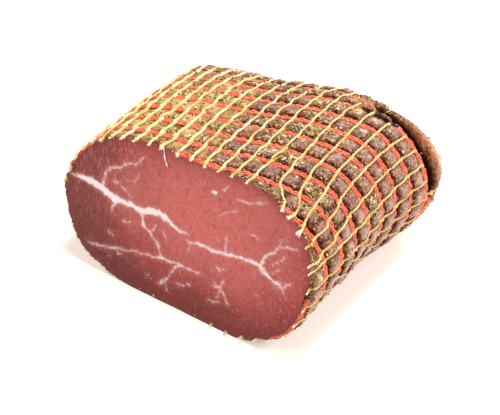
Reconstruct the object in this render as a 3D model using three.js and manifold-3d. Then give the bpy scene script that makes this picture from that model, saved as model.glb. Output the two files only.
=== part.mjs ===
// Half of a netted, cured and air-dried beef round: an oval body lying on its flat side, cut square across at the
// front, with a blunt natural end at the back. Millimetres, +Z up, cut face toward -Y, width along X.
// The crust bulges like small pillows through the openings of an elastic net that lies sunk in the grooves.
import * as THREE from 'three';
import Module from 'manifold-3d';

const wasm = await Module();
wasm.setup();

// Cross-section: radii of the oval, from the right side counter-clockwise at equal angles, and its centre height.
const SECTION_RADII = [74.8, 67.3, 50.8, 41.0, 40.7, 50.6, 70.2, 86.3, 81.6, 57.2, 45.3, 45.2, 55.2, 72.0];
const SECTION_CENTRE_HEIGHT = 44.5;

// Body lengthwise: where the end closes, how blunt it is across and in height, and how the body grows and drifts.
const TAPER_START = 40;
const END_Y = 153.4;
const END_BLUNTNESS_ACROSS = 12;
const END_BLUNTNESS_UP = 5.3;
const END_CENTRE_HEIGHT = 25;
const REFERENCE_LENGTH = 141;
const WIDTH_GROWTH = [0.407, -0.98, 0.749];
const HEIGHT_GROWTH = [0.068, 0.096, -0.092];
const SIDE_DRIFT = [4.4, 5.7];

// Hand-laid irregularities: the lower right edge is tucked in near the front and fuller toward the back,
// and the top sinks toward the back left and the back right.
const FRONT_TUCK = 4;
const BACK_FULLNESS = 6;
const BACK_LEFT_SAG = 4.5;
const BACK_RIGHT_SAG = 6;

// Cut face: a plane through the front, leaning back with height and turned slightly across the body.
const CUT_SKEW = 0.155;
const CUT_LEAN = 0.201;

// Net: lengthwise strings and elastic rings, with the places of their lines over the body.
const STRINGS = 45;
const FIRST_STRING_ARC = 142.5;
const STRING_SPACING_SWING = 0.11;
const WIDEST_SPACING_STRING = 21;
const FIRST_RING = -3;
const LAST_RING = 9;
const RING_PITCH = 13.25;
const RING_START = 1.3;
const RING_LEAN = 0.028;
const RING_SKEW = -1.6;
const RING_BOW = 10;
const RING_FAN = 13.6;
const GATHER_RING = 7;
const RING_GATHER = 0.55;
const HALF_WIDTH_SCALE = 80;
const STRING_HALF_WIDTH = 0.8;
const RING_HALF_WIDTH = 1.3;
const NET_DEPTH = 1.2;
const KNOT_RISE = 0.25;

// Crust pillows: groove depth below the net's outer face, and pillow heights above it.
const GROOVE_DEPTH = 1.7;
const PILLOW_FLAT = 0.1;
const PILLOW_FULL = 1.7;
const PILLOW_VARIATION = 0.35;
const PILLOW_SHOULDER = 0.86;
const PILLOW_INSET = 0.27;
const PILLOW_SLOPE_LIMIT = 0.3;
const REST_HEIGHT = -1.4;
const REST_REACH = 2.0;

// Blunt end: rows of the bare cap, and the folded flap with the crease in front of it.
const CAP_ROWS = 6;
const FLAP_HEIGHT = 2.2;
const CREASE_DEPTH = 2.6;
const FOLD_HEIGHT = 1.6;

// Dried herb flakes and pepper crumbs pressed into the crust.
const FLAKE_COUNT = 42;
const FLAKE_HALF_LENGTH = 1.9;
const FLAKE_HALF_WIDTH = 1.3;
const FLAKE_HALF_THICKNESS = 0.75;
const SEED = 4127;

const CRUST_COLOUR = '#9a5a4c';
const NET_COLOUR = '#efb06c';

function seededRandom(seed) {
  let state = seed >>> 0;
  return () => {
    state = (state + 0x6d2b79f5) >>> 0;
    let t = state;
    t = Math.imul(t ^ (t >>> 15), t | 1);
    t ^= t + Math.imul(t ^ (t >>> 7), t | 61);
    return ((t ^ (t >>> 14)) >>> 0) / 4294967296;
  };
}

function clamp(value, low, high) {
  return Math.min(high, Math.max(low, value));
}

function smoothStep(low, high, value) {
  const t = clamp((value - low) / (high - low), 0, 1);
  return t * t * (3 - 2 * t);
}

function bump(value, centre, spread) {
  const t = (value - centre) / spread;
  return Math.exp(-t * t);
}

// The oval as a closed curve in the X-Z plane; getPointAt runs by arc length.
function sectionCurve() {
  const points = SECTION_RADII.map((radius, i) => {
    const angle = (i / SECTION_RADII.length) * 2 * Math.PI;
    return new THREE.Vector3(radius * Math.cos(angle), 0, SECTION_CENTRE_HEIGHT + radius * Math.sin(angle));
  });
  const curve = new THREE.CatmullRomCurve3(points, true, 'catmullrom', 0.5);
  curve.arcLengthDivisions = 720;
  return curve;
}

const section = sectionCurve();
const sectionLength = section.getLength();

// Arc length of a string line on the oval; strings count from the upper left over the top to the right.
function stringArc(index) {
  const turn = (2 * Math.PI) / STRINGS;
  const swing = STRING_SPACING_SWING / turn;
  const shift = Math.sin((index - WIDEST_SPACING_STRING) * turn) - Math.sin(-WIDEST_SPACING_STRING * turn);
  const arc = FIRST_STRING_ARC - (sectionLength / STRINGS) * (index + swing * shift);
  return ((arc % sectionLength) + sectionLength) % sectionLength;
}

function sectionPoint(index) {
  return section.getPointAt(stringArc(index) / sectionLength);
}

// Length place of ring number k where it crosses the section point s.
function ringPlace(s, k) {
  const across = s.x / HALF_WIDTH_SCALE;
  const spread = across * (RING_SKEW + (RING_FAN * k) / 8) + RING_BOW * across * across;
  const even = RING_START + k * RING_PITCH + RING_LEAN * s.z + spread;
  const late = Math.max(0, k - GATHER_RING);
  return even - late * RING_PITCH * RING_GATHER * smoothStep(25, 70, s.x);
}

function polynomial(coefficients, n) {
  return coefficients.reduce((sum, c, i) => sum + c * n ** (i + 1), 0);
}

function sideShift(s, y) {
  const lowerRight = smoothStep(10, 60, s.x) * bump(s.z, 14, 26);
  return lowerRight * (BACK_FULLNESS * smoothStep(60, 120, y) - FRONT_TUCK * bump(y, 35, 35));
}

function backSag(s, y) {
  const left = BACK_LEFT_SAG * smoothStep(75, 130, y) * bump(s.x, -22, 34);
  const right = BACK_RIGHT_SAG * smoothStep(112, 142, y) * bump(s.x, 62, 30);
  return (left + right) * smoothStep(35, 60, s.z);
}

// The smooth body: the oval carried to length y, grown, drifted and closed toward the blunt end.
function bodyPoint(s, y) {
  const n = clamp(y / REFERENCE_LENGTH, -0.3, 1.1);
  const u = clamp((y - TAPER_START) / (END_Y - TAPER_START), 0, 1);
  const across = Math.sqrt(1 - u ** END_BLUNTNESS_ACROSS);
  const up = Math.sqrt(1 - u ** END_BLUNTNESS_UP);
  const x = polynomial(SIDE_DRIFT, n) + s.x * across * (1 + polynomial(WIDTH_GROWTH, n));
  const z = s.z * up * (1 + polynomial(HEIGHT_GROWTH, n)) + END_CENTRE_HEIGHT * (1 - up);
  return new THREE.Vector3(x + sideShift(s, y) * across, y, z - backSag(s, y) * up);
}

// Outward direction of the smooth body at string place j and length y.
function bodyNormal(j, y) {
  const step = 0.12;
  const here = Math.min(y, END_Y - 2.5);
  const around = bodyPoint(sectionPoint(j + step), here).sub(bodyPoint(sectionPoint(j - step), here));
  const s = sectionPoint(j);
  const along = bodyPoint(s, here + 1).sub(bodyPoint(s, here - 1));
  return along.cross(around).normalize().negate();
}

// Folds of the bare end: a raised flap on the upper right, a crease in front of it, and shallow wrinkles.
function foldHeight(j, beyond) {
  const flapSide = bump(j, 13.5, 4.2);
  const flap = FLAP_HEIGHT * flapSide * bump(beyond, 0.36, 0.2);
  const crease = CREASE_DEPTH * flapSide * bump(beyond, 0.02, 0.1);
  const wrinkles = FOLD_HEIGHT * Math.sin((j * 2 * Math.PI * 7) / STRINGS + 3 * beyond);
  return flap - crease + wrinkles * smoothStep(0, 0.35, beyond) * (1 - smoothStep(0.75, 1, beyond));
}

// Surface place at string place j, ring place k and height above the net's outer face.
function placeOnBody(j, k, height) {
  const s = sectionPoint(j);
  const y = ringPlace(s, k);
  return bodyPoint(s, y).addScaledVector(bodyNormal(j, y), height);
}

// How high the crust bulges in the opening between string j and ring k.
function pillowHeight(j, k, variation) {
  const centre = placeOnBody(j + 0.5, k + 0.5, 0);
  const fullness = smoothStep(-60, 70, centre.x + 0.4 * centre.y);
  const free = PILLOW_FLAT + (PILLOW_FULL - PILLOW_FLAT) * fullness + variation;
  const s = sectionPoint(j + 0.5);
  const pitch = ringPlace(s, k + 1) - ringPlace(s, k);
  return Math.min(free, PILLOW_SLOPE_LIMIT * pitch - GROOVE_DEPTH);
}

// The underside rests flat: low places of a pillow all lie in one plane.
function restFlat(point) {
  if (point.z < REST_HEIGHT + REST_REACH) {
    point.z = REST_HEIGHT;
  }
  return point;
}

class MeshBuilder {
  constructor() {
    this.positions = [];
    this.triangles = [];
  }

  add(point) {
    this.positions.push(point.x, point.y, point.z);
    return this.positions.length / 3 - 1;
  }

  triangle(a, b, c) {
    this.triangles.push(a, b, c);
  }

  quad(a, b, c, d) {
    this.triangle(a, b, c);
    this.triangle(a, c, d);
  }

  solid() {
    const mesh = new wasm.Mesh({
      numProp: 3,
      vertProperties: new Float32Array(this.positions),
      triVerts: new Uint32Array(this.triangles),
    });
    return new wasm.Manifold(mesh);
  }
}

// One pillow over the opening between crossings a, b (ring k) and d, c (ring k + 1).
function addPillow(builder, corners, j, k, height) {
  const low = PILLOW_INSET;
  const high = 1 - PILLOW_INSET;
  const shoulder = -GROOVE_DEPTH + PILLOW_SHOULDER * (height + GROOVE_DEPTH);
  const inner = [[low, low], [high, low], [high, high], [low, high]].map(([dj, dk]) =>
    builder.add(restFlat(placeOnBody(j + dj, k + dk, shoulder))));
  const top = builder.add(restFlat(placeOnBody(j + 0.5, k + 0.5, height)));
  for (let i = 0; i < 4; i += 1) {
    const next = (i + 1) % 4;
    builder.quad(corners[i], corners[next], inner[next], inner[i]);
    builder.triangle(inner[i], inner[next], top);
  }
}

// Rows of the bare cap between the last ring and the end point.
function addCap(builder, lastRow) {
  let previous = lastRow;
  for (let row = 1; row < CAP_ROWS; row += 1) {
    const beyond = row / CAP_ROWS;
    const current = [];
    for (let j = 0; j < STRINGS; j += 1) {
      const s = sectionPoint(j);
      const start = ringPlace(s, LAST_RING);
      const y = END_Y - (END_Y - start) * (1 - beyond) ** 2;
      const height = foldHeight(j, beyond) - GROOVE_DEPTH * (1 - smoothStep(0, 0.3, beyond));
      current.push(builder.add(bodyPoint(s, y).addScaledVector(bodyNormal(j, y), height)));
    }
    for (let j = 0; j < STRINGS; j += 1) {
      const next = (j + 1) % STRINGS;
      builder.quad(previous[j], previous[next], current[next], current[j]);
    }
    previous = current;
  }
  const tip = builder.add(bodyPoint(new THREE.Vector3(0, 0, END_CENTRE_HEIGHT), END_Y));
  for (let j = 0; j < STRINGS; j += 1) {
    builder.triangle(previous[j], previous[(j + 1) % STRINGS], tip);
  }
}

function quiltedBody() {
  const random = seededRandom(SEED);
  const builder = new MeshBuilder();
  const rows = [];
  for (let k = FIRST_RING; k <= LAST_RING; k += 1) {
    const row = [];
    for (let j = 0; j < STRINGS; j += 1) {
      row.push(builder.add(placeOnBody(j, k, -GROOVE_DEPTH)));
    }
    rows.push(row);
  }
  const front = builder.add(new THREE.Vector3(0, ringPlace(sectionPoint(11), FIRST_RING), SECTION_CENTRE_HEIGHT));
  for (let j = 0; j < STRINGS; j += 1) {
    builder.triangle(front, rows[0][(j + 1) % STRINGS], rows[0][j]);
  }
  for (let r = 0; r + 1 < rows.length; r += 1) {
    for (let j = 0; j < STRINGS; j += 1) {
      const next = (j + 1) % STRINGS;
      const corners = [rows[r][j], rows[r][next], rows[r + 1][next], rows[r + 1][j]];
      const height = pillowHeight(j, FIRST_RING + r, PILLOW_VARIATION * (2 * random() - 1));
      addPillow(builder, corners, j, FIRST_RING + r, height);
    }
  }
  addCap(builder, rows[rows.length - 1]);
  return builder.solid();
}

// One crossing of the net: an outer patch with four corners and one inner point down in the groove.
function addCrossing(builder, j, k) {
  const s = sectionPoint(j);
  const y = ringPlace(s, k);
  const stringStep = placeOnBody(j + 0.5, k, 0).distanceTo(placeOnBody(j - 0.5, k, 0));
  const ringStep = ringPlace(s, k + 0.5) - ringPlace(s, k - 0.5);
  const dj = STRING_HALF_WIDTH / stringStep;
  const dk = RING_HALF_WIDTH / ringStep;
  const outer = [[-dj, -dk], [dj, -dk], [dj, dk], [-dj, dk]].map(([sj, sk]) =>
    builder.add(placeOnBody(j + sj, k + sk, KNOT_RISE)));
  const inner = builder.add(bodyPoint(s, y).addScaledVector(bodyNormal(j, y), -NET_DEPTH));
  builder.quad(outer[0], outer[1], outer[2], outer[3]);
  return { outer, inner };
}

// A link between two crossings: a flat outer strip and two sides that meet in the groove.
function addLink(builder, a1, a2, innerA, b1, b2, innerB) {
  builder.quad(a1, a2, b2, b1);
  builder.quad(a2, innerA, innerB, b2);
  builder.quad(innerA, a1, b1, innerB);
}

function netLattice() {
  const builder = new MeshBuilder();
  const rows = [];
  for (let k = FIRST_RING; k <= LAST_RING; k += 1) {
    const row = [];
    for (let j = 0; j < STRINGS; j += 1) {
      row.push(addCrossing(builder, j, k));
    }
    rows.push(row);
  }
  for (let r = 0; r < rows.length; r += 1) {
    for (let j = 0; j < STRINGS; j += 1) {
      const a = rows[r][j];
      const b = rows[r][(j + 1) % STRINGS];
      addLink(builder, a.outer[2], a.outer[1], a.inner, b.outer[3], b.outer[0], b.inner);
      if (r + 1 < rows.length) {
        const c = rows[r + 1][j];
        addLink(builder, a.outer[3], a.outer[2], a.inner, c.outer[0], c.outer[1], c.inner);
      }
    }
  }
  for (let j = 0; j < STRINGS; j += 1) {
    const a = rows[0][j];
    const z = rows[rows.length - 1][j];
    builder.triangle(a.outer[1], a.outer[0], a.inner);
    builder.triangle(z.outer[3], z.outer[2], z.inner);
  }
  return builder.solid();
}

function solidFromGeometry(geometry) {
  const builder = new MeshBuilder();
  const seen = new Map();
  const position = geometry.getAttribute('position');
  const order = geometry.index ? Array.from(geometry.index.array) : [...Array(position.count).keys()];
  const indices = order.map((i) => {
    const point = new THREE.Vector3().fromBufferAttribute(position, i);
    const key = point.toArray().map((v) => v.toFixed(4)).join(' ');
    if (!seen.has(key)) {
      seen.set(key, builder.add(point));
    }
    return seen.get(key);
  });
  builder.triangles = indices;
  return builder.solid();
}

// The block in front of the cut plane, taken away from the body and the net.
function cuttingBlock() {
  const size = 600;
  const inward = new THREE.Vector3(CUT_SKEW, 1, -CUT_LEAN).normalize();
  const block = new THREE.BoxGeometry(size, size, size);
  const turn = new THREE.Quaternion().setFromUnitVectors(new THREE.Vector3(0, 1, 0), inward);
  block.applyQuaternion(turn);
  block.translate(-inward.x * size / 2, -inward.y * size / 2, -inward.z * size / 2);
  return solidFromGeometry(block);
}

// An irregular flat crumb, half sunk in the crown of a pillow.
function flake(random, place, normal, size) {
  const shape = new THREE.IcosahedronGeometry(1, 0);
  shape.scale(
    FLAKE_HALF_LENGTH * size * (0.8 + 0.4 * random()),
    FLAKE_HALF_WIDTH * size * (0.8 + 0.4 * random()),
    FLAKE_HALF_THICKNESS * (0.8 + 0.4 * random()),
  );
  shape.rotateZ(random() * Math.PI);
  const turn = new THREE.Quaternion().setFromUnitVectors(new THREE.Vector3(0, 0, 1), normal);
  shape.applyQuaternion(turn);
  shape.translate(place.x, place.y, place.z);
  return solidFromGeometry(shape);
}

// Herb flakes gather on the upper left and in a clump on the far upper right.
function pickFlakePlace(random) {
  if (random() < 0.3) {
    return { j: 9 + Math.floor(random() * 5), k: 6 + Math.floor(random() * 2) };
  }
  return { j: Math.floor(random() * 14) - 2, k: 1 + Math.floor(random() * 7) };
}

function flakes() {
  const random = seededRandom(SEED + 1);
  const used = new Set();
  const solids = [];
  while (solids.length < FLAKE_COUNT) {
    const { j, k } = pickFlakePlace(random);
    const key = `${j} ${k}`;
    const dj = 0.5 + 0.12 * (2 * random() - 1);
    const dk = 0.5 + 0.2 * (2 * random() - 1);
    if (!used.has(key)) {
      used.add(key);
      const top = pillowHeight(j, k, 0) - 0.1;
      const y = ringPlace(sectionPoint(j + dj), k + dk);
      solids.push(flake(random, placeOnBody(j + dj, k + dk, top), bodyNormal(j + dj, y), 0.75 + 0.35 * random()));
    }
  }
  return solids;
}

function geometryFromSolid(solid) {
  const mesh = solid.getMesh();
  const geometry = new THREE.BufferGeometry();
  geometry.setAttribute('position', new THREE.BufferAttribute(new Float32Array(mesh.vertProperties), 3));
  geometry.setIndex(new THREE.BufferAttribute(new Uint32Array(mesh.triVerts), 1));
  return geometry;
}

function makeMesh(name, solid, colour, roughness) {
  const material = new THREE.MeshStandardMaterial({ color: colour, roughness, metalness: 0 });
  const mesh = new THREE.Mesh(geometryFromSolid(solid), material);
  mesh.name = name;
  return mesh;
}

// The origin goes to the middle of the footprint, at the height of the resting plane.
function centreOnFloor(meshes) {
  const box = new THREE.Box3();
  meshes.forEach((mesh) => box.union(new THREE.Box3().setFromBufferAttribute(mesh.geometry.getAttribute('position'))));
  const middle = box.getCenter(new THREE.Vector3());
  meshes.forEach((mesh) => mesh.geometry.translate(-middle.x, -middle.y, -box.min.z));
}

const block = cuttingBlock();
const meatSolid = flakes().reduce((body, crumb) => body.add(crumb), quiltedBody()).subtract(block);
const netSolid = netLattice().subtract(block);

const bresaola = new THREE.Group();
bresaola.name = 'bresaola';
const pieces = [
  makeMesh('meat', meatSolid, CRUST_COLOUR, 0.6),
  makeMesh('net', netSolid, NET_COLOUR, 0.85),
];
centreOnFloor(pieces);
pieces.forEach((piece) => bresaola.add(piece));

export default bresaola;
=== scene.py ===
# %% [markdown]
# A half of cured, air-dried beef in its elastic net, cut across at the front. The CAD frame gives the body
# and a plain lattice for the net. Here both get their real surfaces: the marbled cut, the crust that bulges
# through the net, the twisted yarns, the elastic rings and the herbs. Sizes are millimetres, and are turned
# to metres last.

import math

import bmesh
import bpy
import numpy as np
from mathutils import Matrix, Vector, kdtree, noise


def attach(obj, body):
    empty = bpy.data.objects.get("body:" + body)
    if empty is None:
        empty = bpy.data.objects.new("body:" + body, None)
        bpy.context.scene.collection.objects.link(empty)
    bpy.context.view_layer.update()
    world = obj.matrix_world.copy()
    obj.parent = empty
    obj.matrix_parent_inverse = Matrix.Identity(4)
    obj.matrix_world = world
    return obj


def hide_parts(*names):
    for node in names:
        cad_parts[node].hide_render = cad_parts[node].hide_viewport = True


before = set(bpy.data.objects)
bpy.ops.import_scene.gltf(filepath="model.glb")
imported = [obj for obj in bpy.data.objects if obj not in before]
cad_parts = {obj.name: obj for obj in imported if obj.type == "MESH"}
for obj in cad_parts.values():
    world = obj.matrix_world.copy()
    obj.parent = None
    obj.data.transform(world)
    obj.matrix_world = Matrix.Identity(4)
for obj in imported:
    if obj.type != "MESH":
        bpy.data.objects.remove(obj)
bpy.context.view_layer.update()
bpy.ops.object.select_all(action="DESELECT")
MM = 0.001

# %% [markdown]
# The camera stands where the photographer stood: in front, to the right and well above, with a long lens. It
# comes first, because everything else is judged through it.

# %% Camera
AIM = Vector((13.8, -28.6, 46.7)) * MM
CAMERA_AZIMUTH = 27.8
CAMERA_ELEVATION = 34.3
CAMERA_DISTANCE = 616.5 * MM
LENS_MM = 82.4

azimuth, elevation = math.radians(CAMERA_AZIMUTH), math.radians(CAMERA_ELEVATION)
toward_camera = Vector((
    math.sin(azimuth) * math.cos(elevation),
    -math.cos(azimuth) * math.cos(elevation),
    math.sin(elevation),
))
bpy.ops.object.camera_add(
    location=AIM + toward_camera * CAMERA_DISTANCE,
    rotation=toward_camera.to_track_quat("Z", "Y").to_euler(),
)
camera = bpy.context.object
camera.name = "camera"
camera.data.lens = LENS_MM
camera.data.clip_start = 10 * MM
bpy.context.scene.camera = camera
print("camera at, mm:", [round(part / MM) for part in camera.location])

# %% [markdown]
# Every finish is drawn with shader nodes. One small helper adds a node with its settings and links, and one
# function turns a colour written as sRGB hex into the linear values that the renderer works in.

# %% Helpers for finishes
def colour(hex_code):
    """Linear RGBA of an sRGB hex colour."""
    channels = [int(hex_code[i:i + 2], 16) / 255 for i in (1, 3, 5)]
    linear = [c / 12.92 if c <= 0.04045 else ((c + 0.055) / 1.055) ** 2.4 for c in channels]
    return (*linear, 1.0)


def node(tree, kind, inputs=None, stops=None, **settings):
    """Adds a shader node. inputs gives each socket a value, or the socket that feeds it.

    stops are the places and colours of a ramp, with its first and last stop ahead of those between.
    """
    made = tree.nodes.new(kind)
    for option, value in settings.items():
        setattr(made, option, value)
    for socket, value in (inputs or {}).items():
        if isinstance(value, bpy.types.NodeSocket):
            tree.links.new(value, made.inputs[socket])
        else:
            made.inputs[socket].default_value = value
    for number, (place, shade) in enumerate(stops or []):
        ramp = made.color_ramp.elements
        element = ramp[number] if number < 2 else ramp.new(place)
        element.position = place
        element.color = shade
    return made


def new_finish(name):
    """A material with only an output and a Principled shader, and its node tree."""
    finish = bpy.data.materials.new(name)
    finish.use_nodes = True
    tree = finish.node_tree
    tree.nodes.clear()
    shader = node(tree, "ShaderNodeBsdfPrincipled")
    node(tree, "ShaderNodeOutputMaterial", {"Surface": shader.outputs["BSDF"]})
    return finish, tree, shader


def per_mm(size):
    """Texture scale that makes a pattern's grain about size millimetres, on coordinates in metres."""
    return 1 / (size * MM)


print("helpers ready")

# %% [markdown]
# The floor is a table of white acrylic, lit from below as for product photographs, so it burns out to white
# and only a pale shadow stays at the right. Soft boxes hang above and to both sides, and one stands behind,
# in a bright white studio.

# %% Floor and light
TABLE_SIDE = 8.0

bpy.ops.mesh.primitive_plane_add(size=TABLE_SIDE)
floor = bpy.context.object
floor.name = "light_table"
acrylic, tree, shader = new_finish("white_acrylic")
place = node(tree, "ShaderNodeTexCoord").outputs["Object"]
milky = node(tree, "ShaderNodeTexNoise", {"Vector": place, "Scale": per_mm(40)}).outputs["Fac"]
tint = node(tree, "ShaderNodeValToRGB", {"Fac": milky}, stops=[
    (0.0, colour("#f1efe8")), (1.0, colour("#f6f4ee")),
])
tree.links.new(tint.outputs["Color"], shader.inputs["Base Color"])
shader.inputs["Roughness"].default_value = 0.7
shader.inputs["Emission Color"].default_value = colour("#fffdf6")
shader.inputs["Emission Strength"].default_value = 0.34
floor.data.materials.append(acrylic)

scene = bpy.context.scene
scene.view_settings.view_transform = "Standard"
studio = bpy.data.worlds.new("white_studio")
studio.use_nodes = True
studio.node_tree.nodes["Background"].inputs["Color"].default_value = colour("#fffdf8")
studio.node_tree.nodes["Background"].inputs["Strength"].default_value = 0.42
scene.world = studio


def soft_box(name, at, side, power):
    """A square area light that looks at the middle of the meat."""
    bpy.ops.object.light_add(type="AREA", location=at)
    lamp = bpy.context.object
    lamp.name = name
    lamp.data.size = side
    lamp.data.energy = power
    lamp.rotation_euler = (AIM - Vector(at)).to_track_quat("-Z", "Y").to_euler()
    return lamp


soft_box("top_soft_box", (0.1, 0.15, 1.3), 0.4, 11)
soft_box("left_soft_box", (-0.8, -0.7, 0.9), 0.7, 4)
soft_box("right_soft_box", (0.95, 0.25, 0.85), 0.35, 8)
# stands behind the meat, so that its light glances off the crowns of the crust toward the camera
soft_box("back_soft_box", (0.25, 1.1, 0.8), 0.4, 7)

# %% [markdown]
# The body is an oval carried backwards while it swells, drifts to the right and closes in a blunt end. The
# same few driving sizes as in the CAD part give it here, so that the fine surface lies where the solid does.
# Round the oval a place is counted in strings of the net, and along the body in its rings.

# %% The oval
OVAL_RADII = np.array([74.8, 67.3, 50.8, 41.0, 40.7, 50.6, 70.2, 86.3, 81.6, 57.2, 45.3, 45.2, 55.2, 72.0])
OVAL_CENTRE_HEIGHT = 44.5
STEPS_PER_CORNER = 400
# the frame's origin, counted from the origin of the body's own formulas
BODY_ORIGIN = np.array([1.784, 73.385, -1.4])


def smooth_step(low, high, value):
    """0 up to low, 1 from high on, and a smooth rise between."""
    t = np.clip((value - low) / (high - low), 0, 1)
    return t * t * (3 - 2 * t)


def bump(value, centre, spread):
    """1 at the centre, fading to both sides."""
    return np.exp(-(((value - centre) / spread) ** 2))


def oval_outline():
    """The closed smooth curve through the ends of the radii, as points in X and Z."""
    count = len(OVAL_RADII)
    angle = np.arange(count) * 2 * math.pi / count
    corners = np.column_stack((OVAL_RADII * np.cos(angle), OVAL_CENTRE_HEIGHT + OVAL_RADII * np.sin(angle)))
    along = np.arange(count * STEPS_PER_CORNER + 1) / STEPS_PER_CORNER
    corner = along.astype(int)
    t = (along - corner)[:, None]
    before, here, after, beyond = (corners[(corner + shift) % count] for shift in (-1, 0, 1, 2))
    cubic = -before + 3 * here - 3 * after + beyond
    square = 2 * before - 5 * here + 4 * after - beyond
    return 0.5 * (2 * here + (after - before) * t + square * t**2 + cubic * t**3)


OUTLINE = oval_outline()
ARC = np.concatenate(([0], np.cumsum(np.linalg.norm(np.diff(OUTLINE, axis=0), axis=1))))
GIRTH = ARC[-1]
print("girth of the oval, mm:", round(GIRTH))

# %% [markdown]
# The net is what shapes the meat, so its lines come before any relief. Its yarns are 45 strings spread round
# the oval, a little wider apart on one side. Its rings lean, fan out to the right, and crowd together at the
# far right. A formula gives the length at which a ring crosses a string, and a second one turns that round,
# so any place on the body can be asked which ring it lies at.

# %% The net's lines over the body
STRINGS = 45
FIRST_STRING_ARC = 142.5
SPACING_SWING = 0.11
WIDEST_SPACING_STRING = 21
FIRST_RING, LAST_RING = -3, 9
RING_PITCH = 13.25
RING_START = 1.3
RING_LEAN = 0.028
RING_SKEW, RING_FAN, RING_BOW = -1.6, 13.6, 10
# the fan spreads over this many rings
FAN_RINGS = 8
GATHER_RING, RING_GATHER = 7, 0.55
# the rings gather from the first of these places across the oval, and fully from the second
GATHER_ACROSS = (25, 70)
HALF_WIDTH = 80
TURN = 2 * math.pi / STRINGS


def oval_point(j):
    """X and Z of the oval at string place j; strings count from the upper left over the top to the right."""
    shift = np.sin((j - WIDEST_SPACING_STRING) * TURN) - math.sin(-WIDEST_SPACING_STRING * TURN)
    arc = (FIRST_STRING_ARC - GIRTH / STRINGS * (j + SPACING_SWING / TURN * shift)) % GIRTH
    return np.interp(arc, ARC, OUTLINE[:, 0]), np.interp(arc, ARC, OUTLINE[:, 1])


def ring_line(x, z):
    """Where ring 0 crosses the oval point, the step to the next ring, and what gathering takes off it."""
    across = x / HALF_WIDTH
    start = RING_START + RING_LEAN * z + RING_SKEW * across + RING_BOW * across**2
    gather = RING_PITCH * RING_GATHER * smooth_step(*GATHER_ACROSS, x)
    return start, RING_PITCH + RING_FAN / FAN_RINGS * across, gather


def ring_place(j, k):
    """Length y at which ring k crosses string place j."""
    start, step, gather = ring_line(*oval_point(j))
    return start + step * k - gather * np.maximum(0, k - GATHER_RING)


def ring_number(j, y):
    """The ring, with its fraction, that lies at length y on string place j."""
    start, step, gather = ring_line(*oval_point(j))
    early = (y - start) / step
    late = (y - start - GATHER_RING * gather) / (step - gather)
    return np.where(early <= GATHER_RING, early, late)


print("net openings, mm:", round(GIRTH / STRINGS, 1), "x", RING_PITCH)

# %% [markdown]
# Behind these lines lies the smooth body. The oval is widened, raised and shifted along the length by a few
# powers, closed by a blunt curve at the far end, and let sag a little at the back. Each layer above it is a
# height straight out of it, so it also gives that direction, from one small step round it and one along it.

# %% The smooth body
TAPER_START, END_Y = 40, 153.4
BLUNT_ACROSS, BLUNT_UP = 12, 5.3
END_CENTRE_HEIGHT = 25
REFERENCE_LENGTH = 141
GROWTH_RANGE = (-0.3, 1.1)
AROUND_STEP, ALONG_STEP = 0.12, 1
TIP_MARGIN = 2.5
WIDTH_GROWTH = (0.407, -0.98, 0.749)
HEIGHT_GROWTH = (0.068, 0.096, -0.092)
SIDE_DRIFT = (4.4, 5.7)
FRONT_TUCK, BACK_FULLNESS = 4, 6
BACK_LEFT_SAG, BACK_RIGHT_SAG = 4.5, 6


def growth(factors, n):
    """The sum of the factors, each times the next power of n."""
    return sum(factor * n ** (power + 1) for power, factor in enumerate(factors))


def body_point(j, y):
    """The smooth body at string place j and length y, in millimetres."""
    x, z = oval_point(j)
    n = np.clip(y / REFERENCE_LENGTH, *GROWTH_RANGE)
    u = np.clip((y - TAPER_START) / (END_Y - TAPER_START), 0, 1)
    across, up = np.sqrt(1 - u**BLUNT_ACROSS), np.sqrt(1 - u**BLUNT_UP)
    # the lower right side is tucked in at the front and full at the back; the top sags toward the far end
    lower_right = smooth_step(10, 60, x) * bump(z, 14, 26)
    shift = lower_right * (BACK_FULLNESS * smooth_step(60, 120, y) - FRONT_TUCK * bump(y, 35, 35))
    left_sag = BACK_LEFT_SAG * smooth_step(75, 130, y) * bump(x, -22, 34)
    right_sag = BACK_RIGHT_SAG * smooth_step(112, 142, y) * bump(x, 62, 30)
    sag = (left_sag + right_sag) * smooth_step(35, 60, z)
    body_x = growth(SIDE_DRIFT, n) + (x * (1 + growth(WIDTH_GROWTH, n)) + shift) * across
    body_z = (z * (1 + growth(HEIGHT_GROWTH, n)) - sag) * up + END_CENTRE_HEIGHT * (1 - up)
    return np.stack(np.broadcast_arrays(body_x, y, body_z), axis=-1)


def body_outward(j, y):
    """Unit direction out of the smooth body."""
    here = np.minimum(y, END_Y - TIP_MARGIN)
    around = body_point(j + AROUND_STEP, here) - body_point(j - AROUND_STEP, here)
    along = body_point(j, here + ALONG_STEP) - body_point(j, here - ALONG_STEP)
    normal = np.cross(around, along)
    return normal / np.linalg.norm(normal, axis=-1, keepdims=True)


top_place = np.array(9.0), np.array(70.0)
print("top of the body, mm:", body_point(*top_place).round(1), "outward", body_outward(*top_place).round(2))

# %% [markdown]
# The knife went straight across, leaning a little back. The distance to that plane says where the crust
# starts, where each yarn was cut and where a ring has slid back from the edge.

# %% The plane of the cut
CUT_SKEW, CUT_LEAN = 0.155, 0.201
CUT_NORMAL = np.array([CUT_SKEW, 1, -CUT_LEAN]) / math.hypot(CUT_SKEW, 1, CUT_LEAN)


def behind_cut(points):
    """How far points lie behind the cut, in millimetres."""
    return points @ CUT_NORMAL


def to_part(points):
    """Millimetres of the body's own formulas to metres in the frame."""
    return (points - BODY_ORIGIN) * MM


print("the cut leans back", round(math.degrees(math.asin(CUT_NORMAL[2] * -1)), 1), "degrees")

# %% [markdown]
# Dried beef shrinks hard against its net. The rings press deep grooves round it and the yarns lighter ones
# along it, and between them the crust stands out in small pillows: nearly flat at the upper left, full at the
# right, where the net is tightest. At the far end a fold stands out behind a deep crease. All of it is one
# height over the smooth body, so cords and herbs can be laid on it too.

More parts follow.
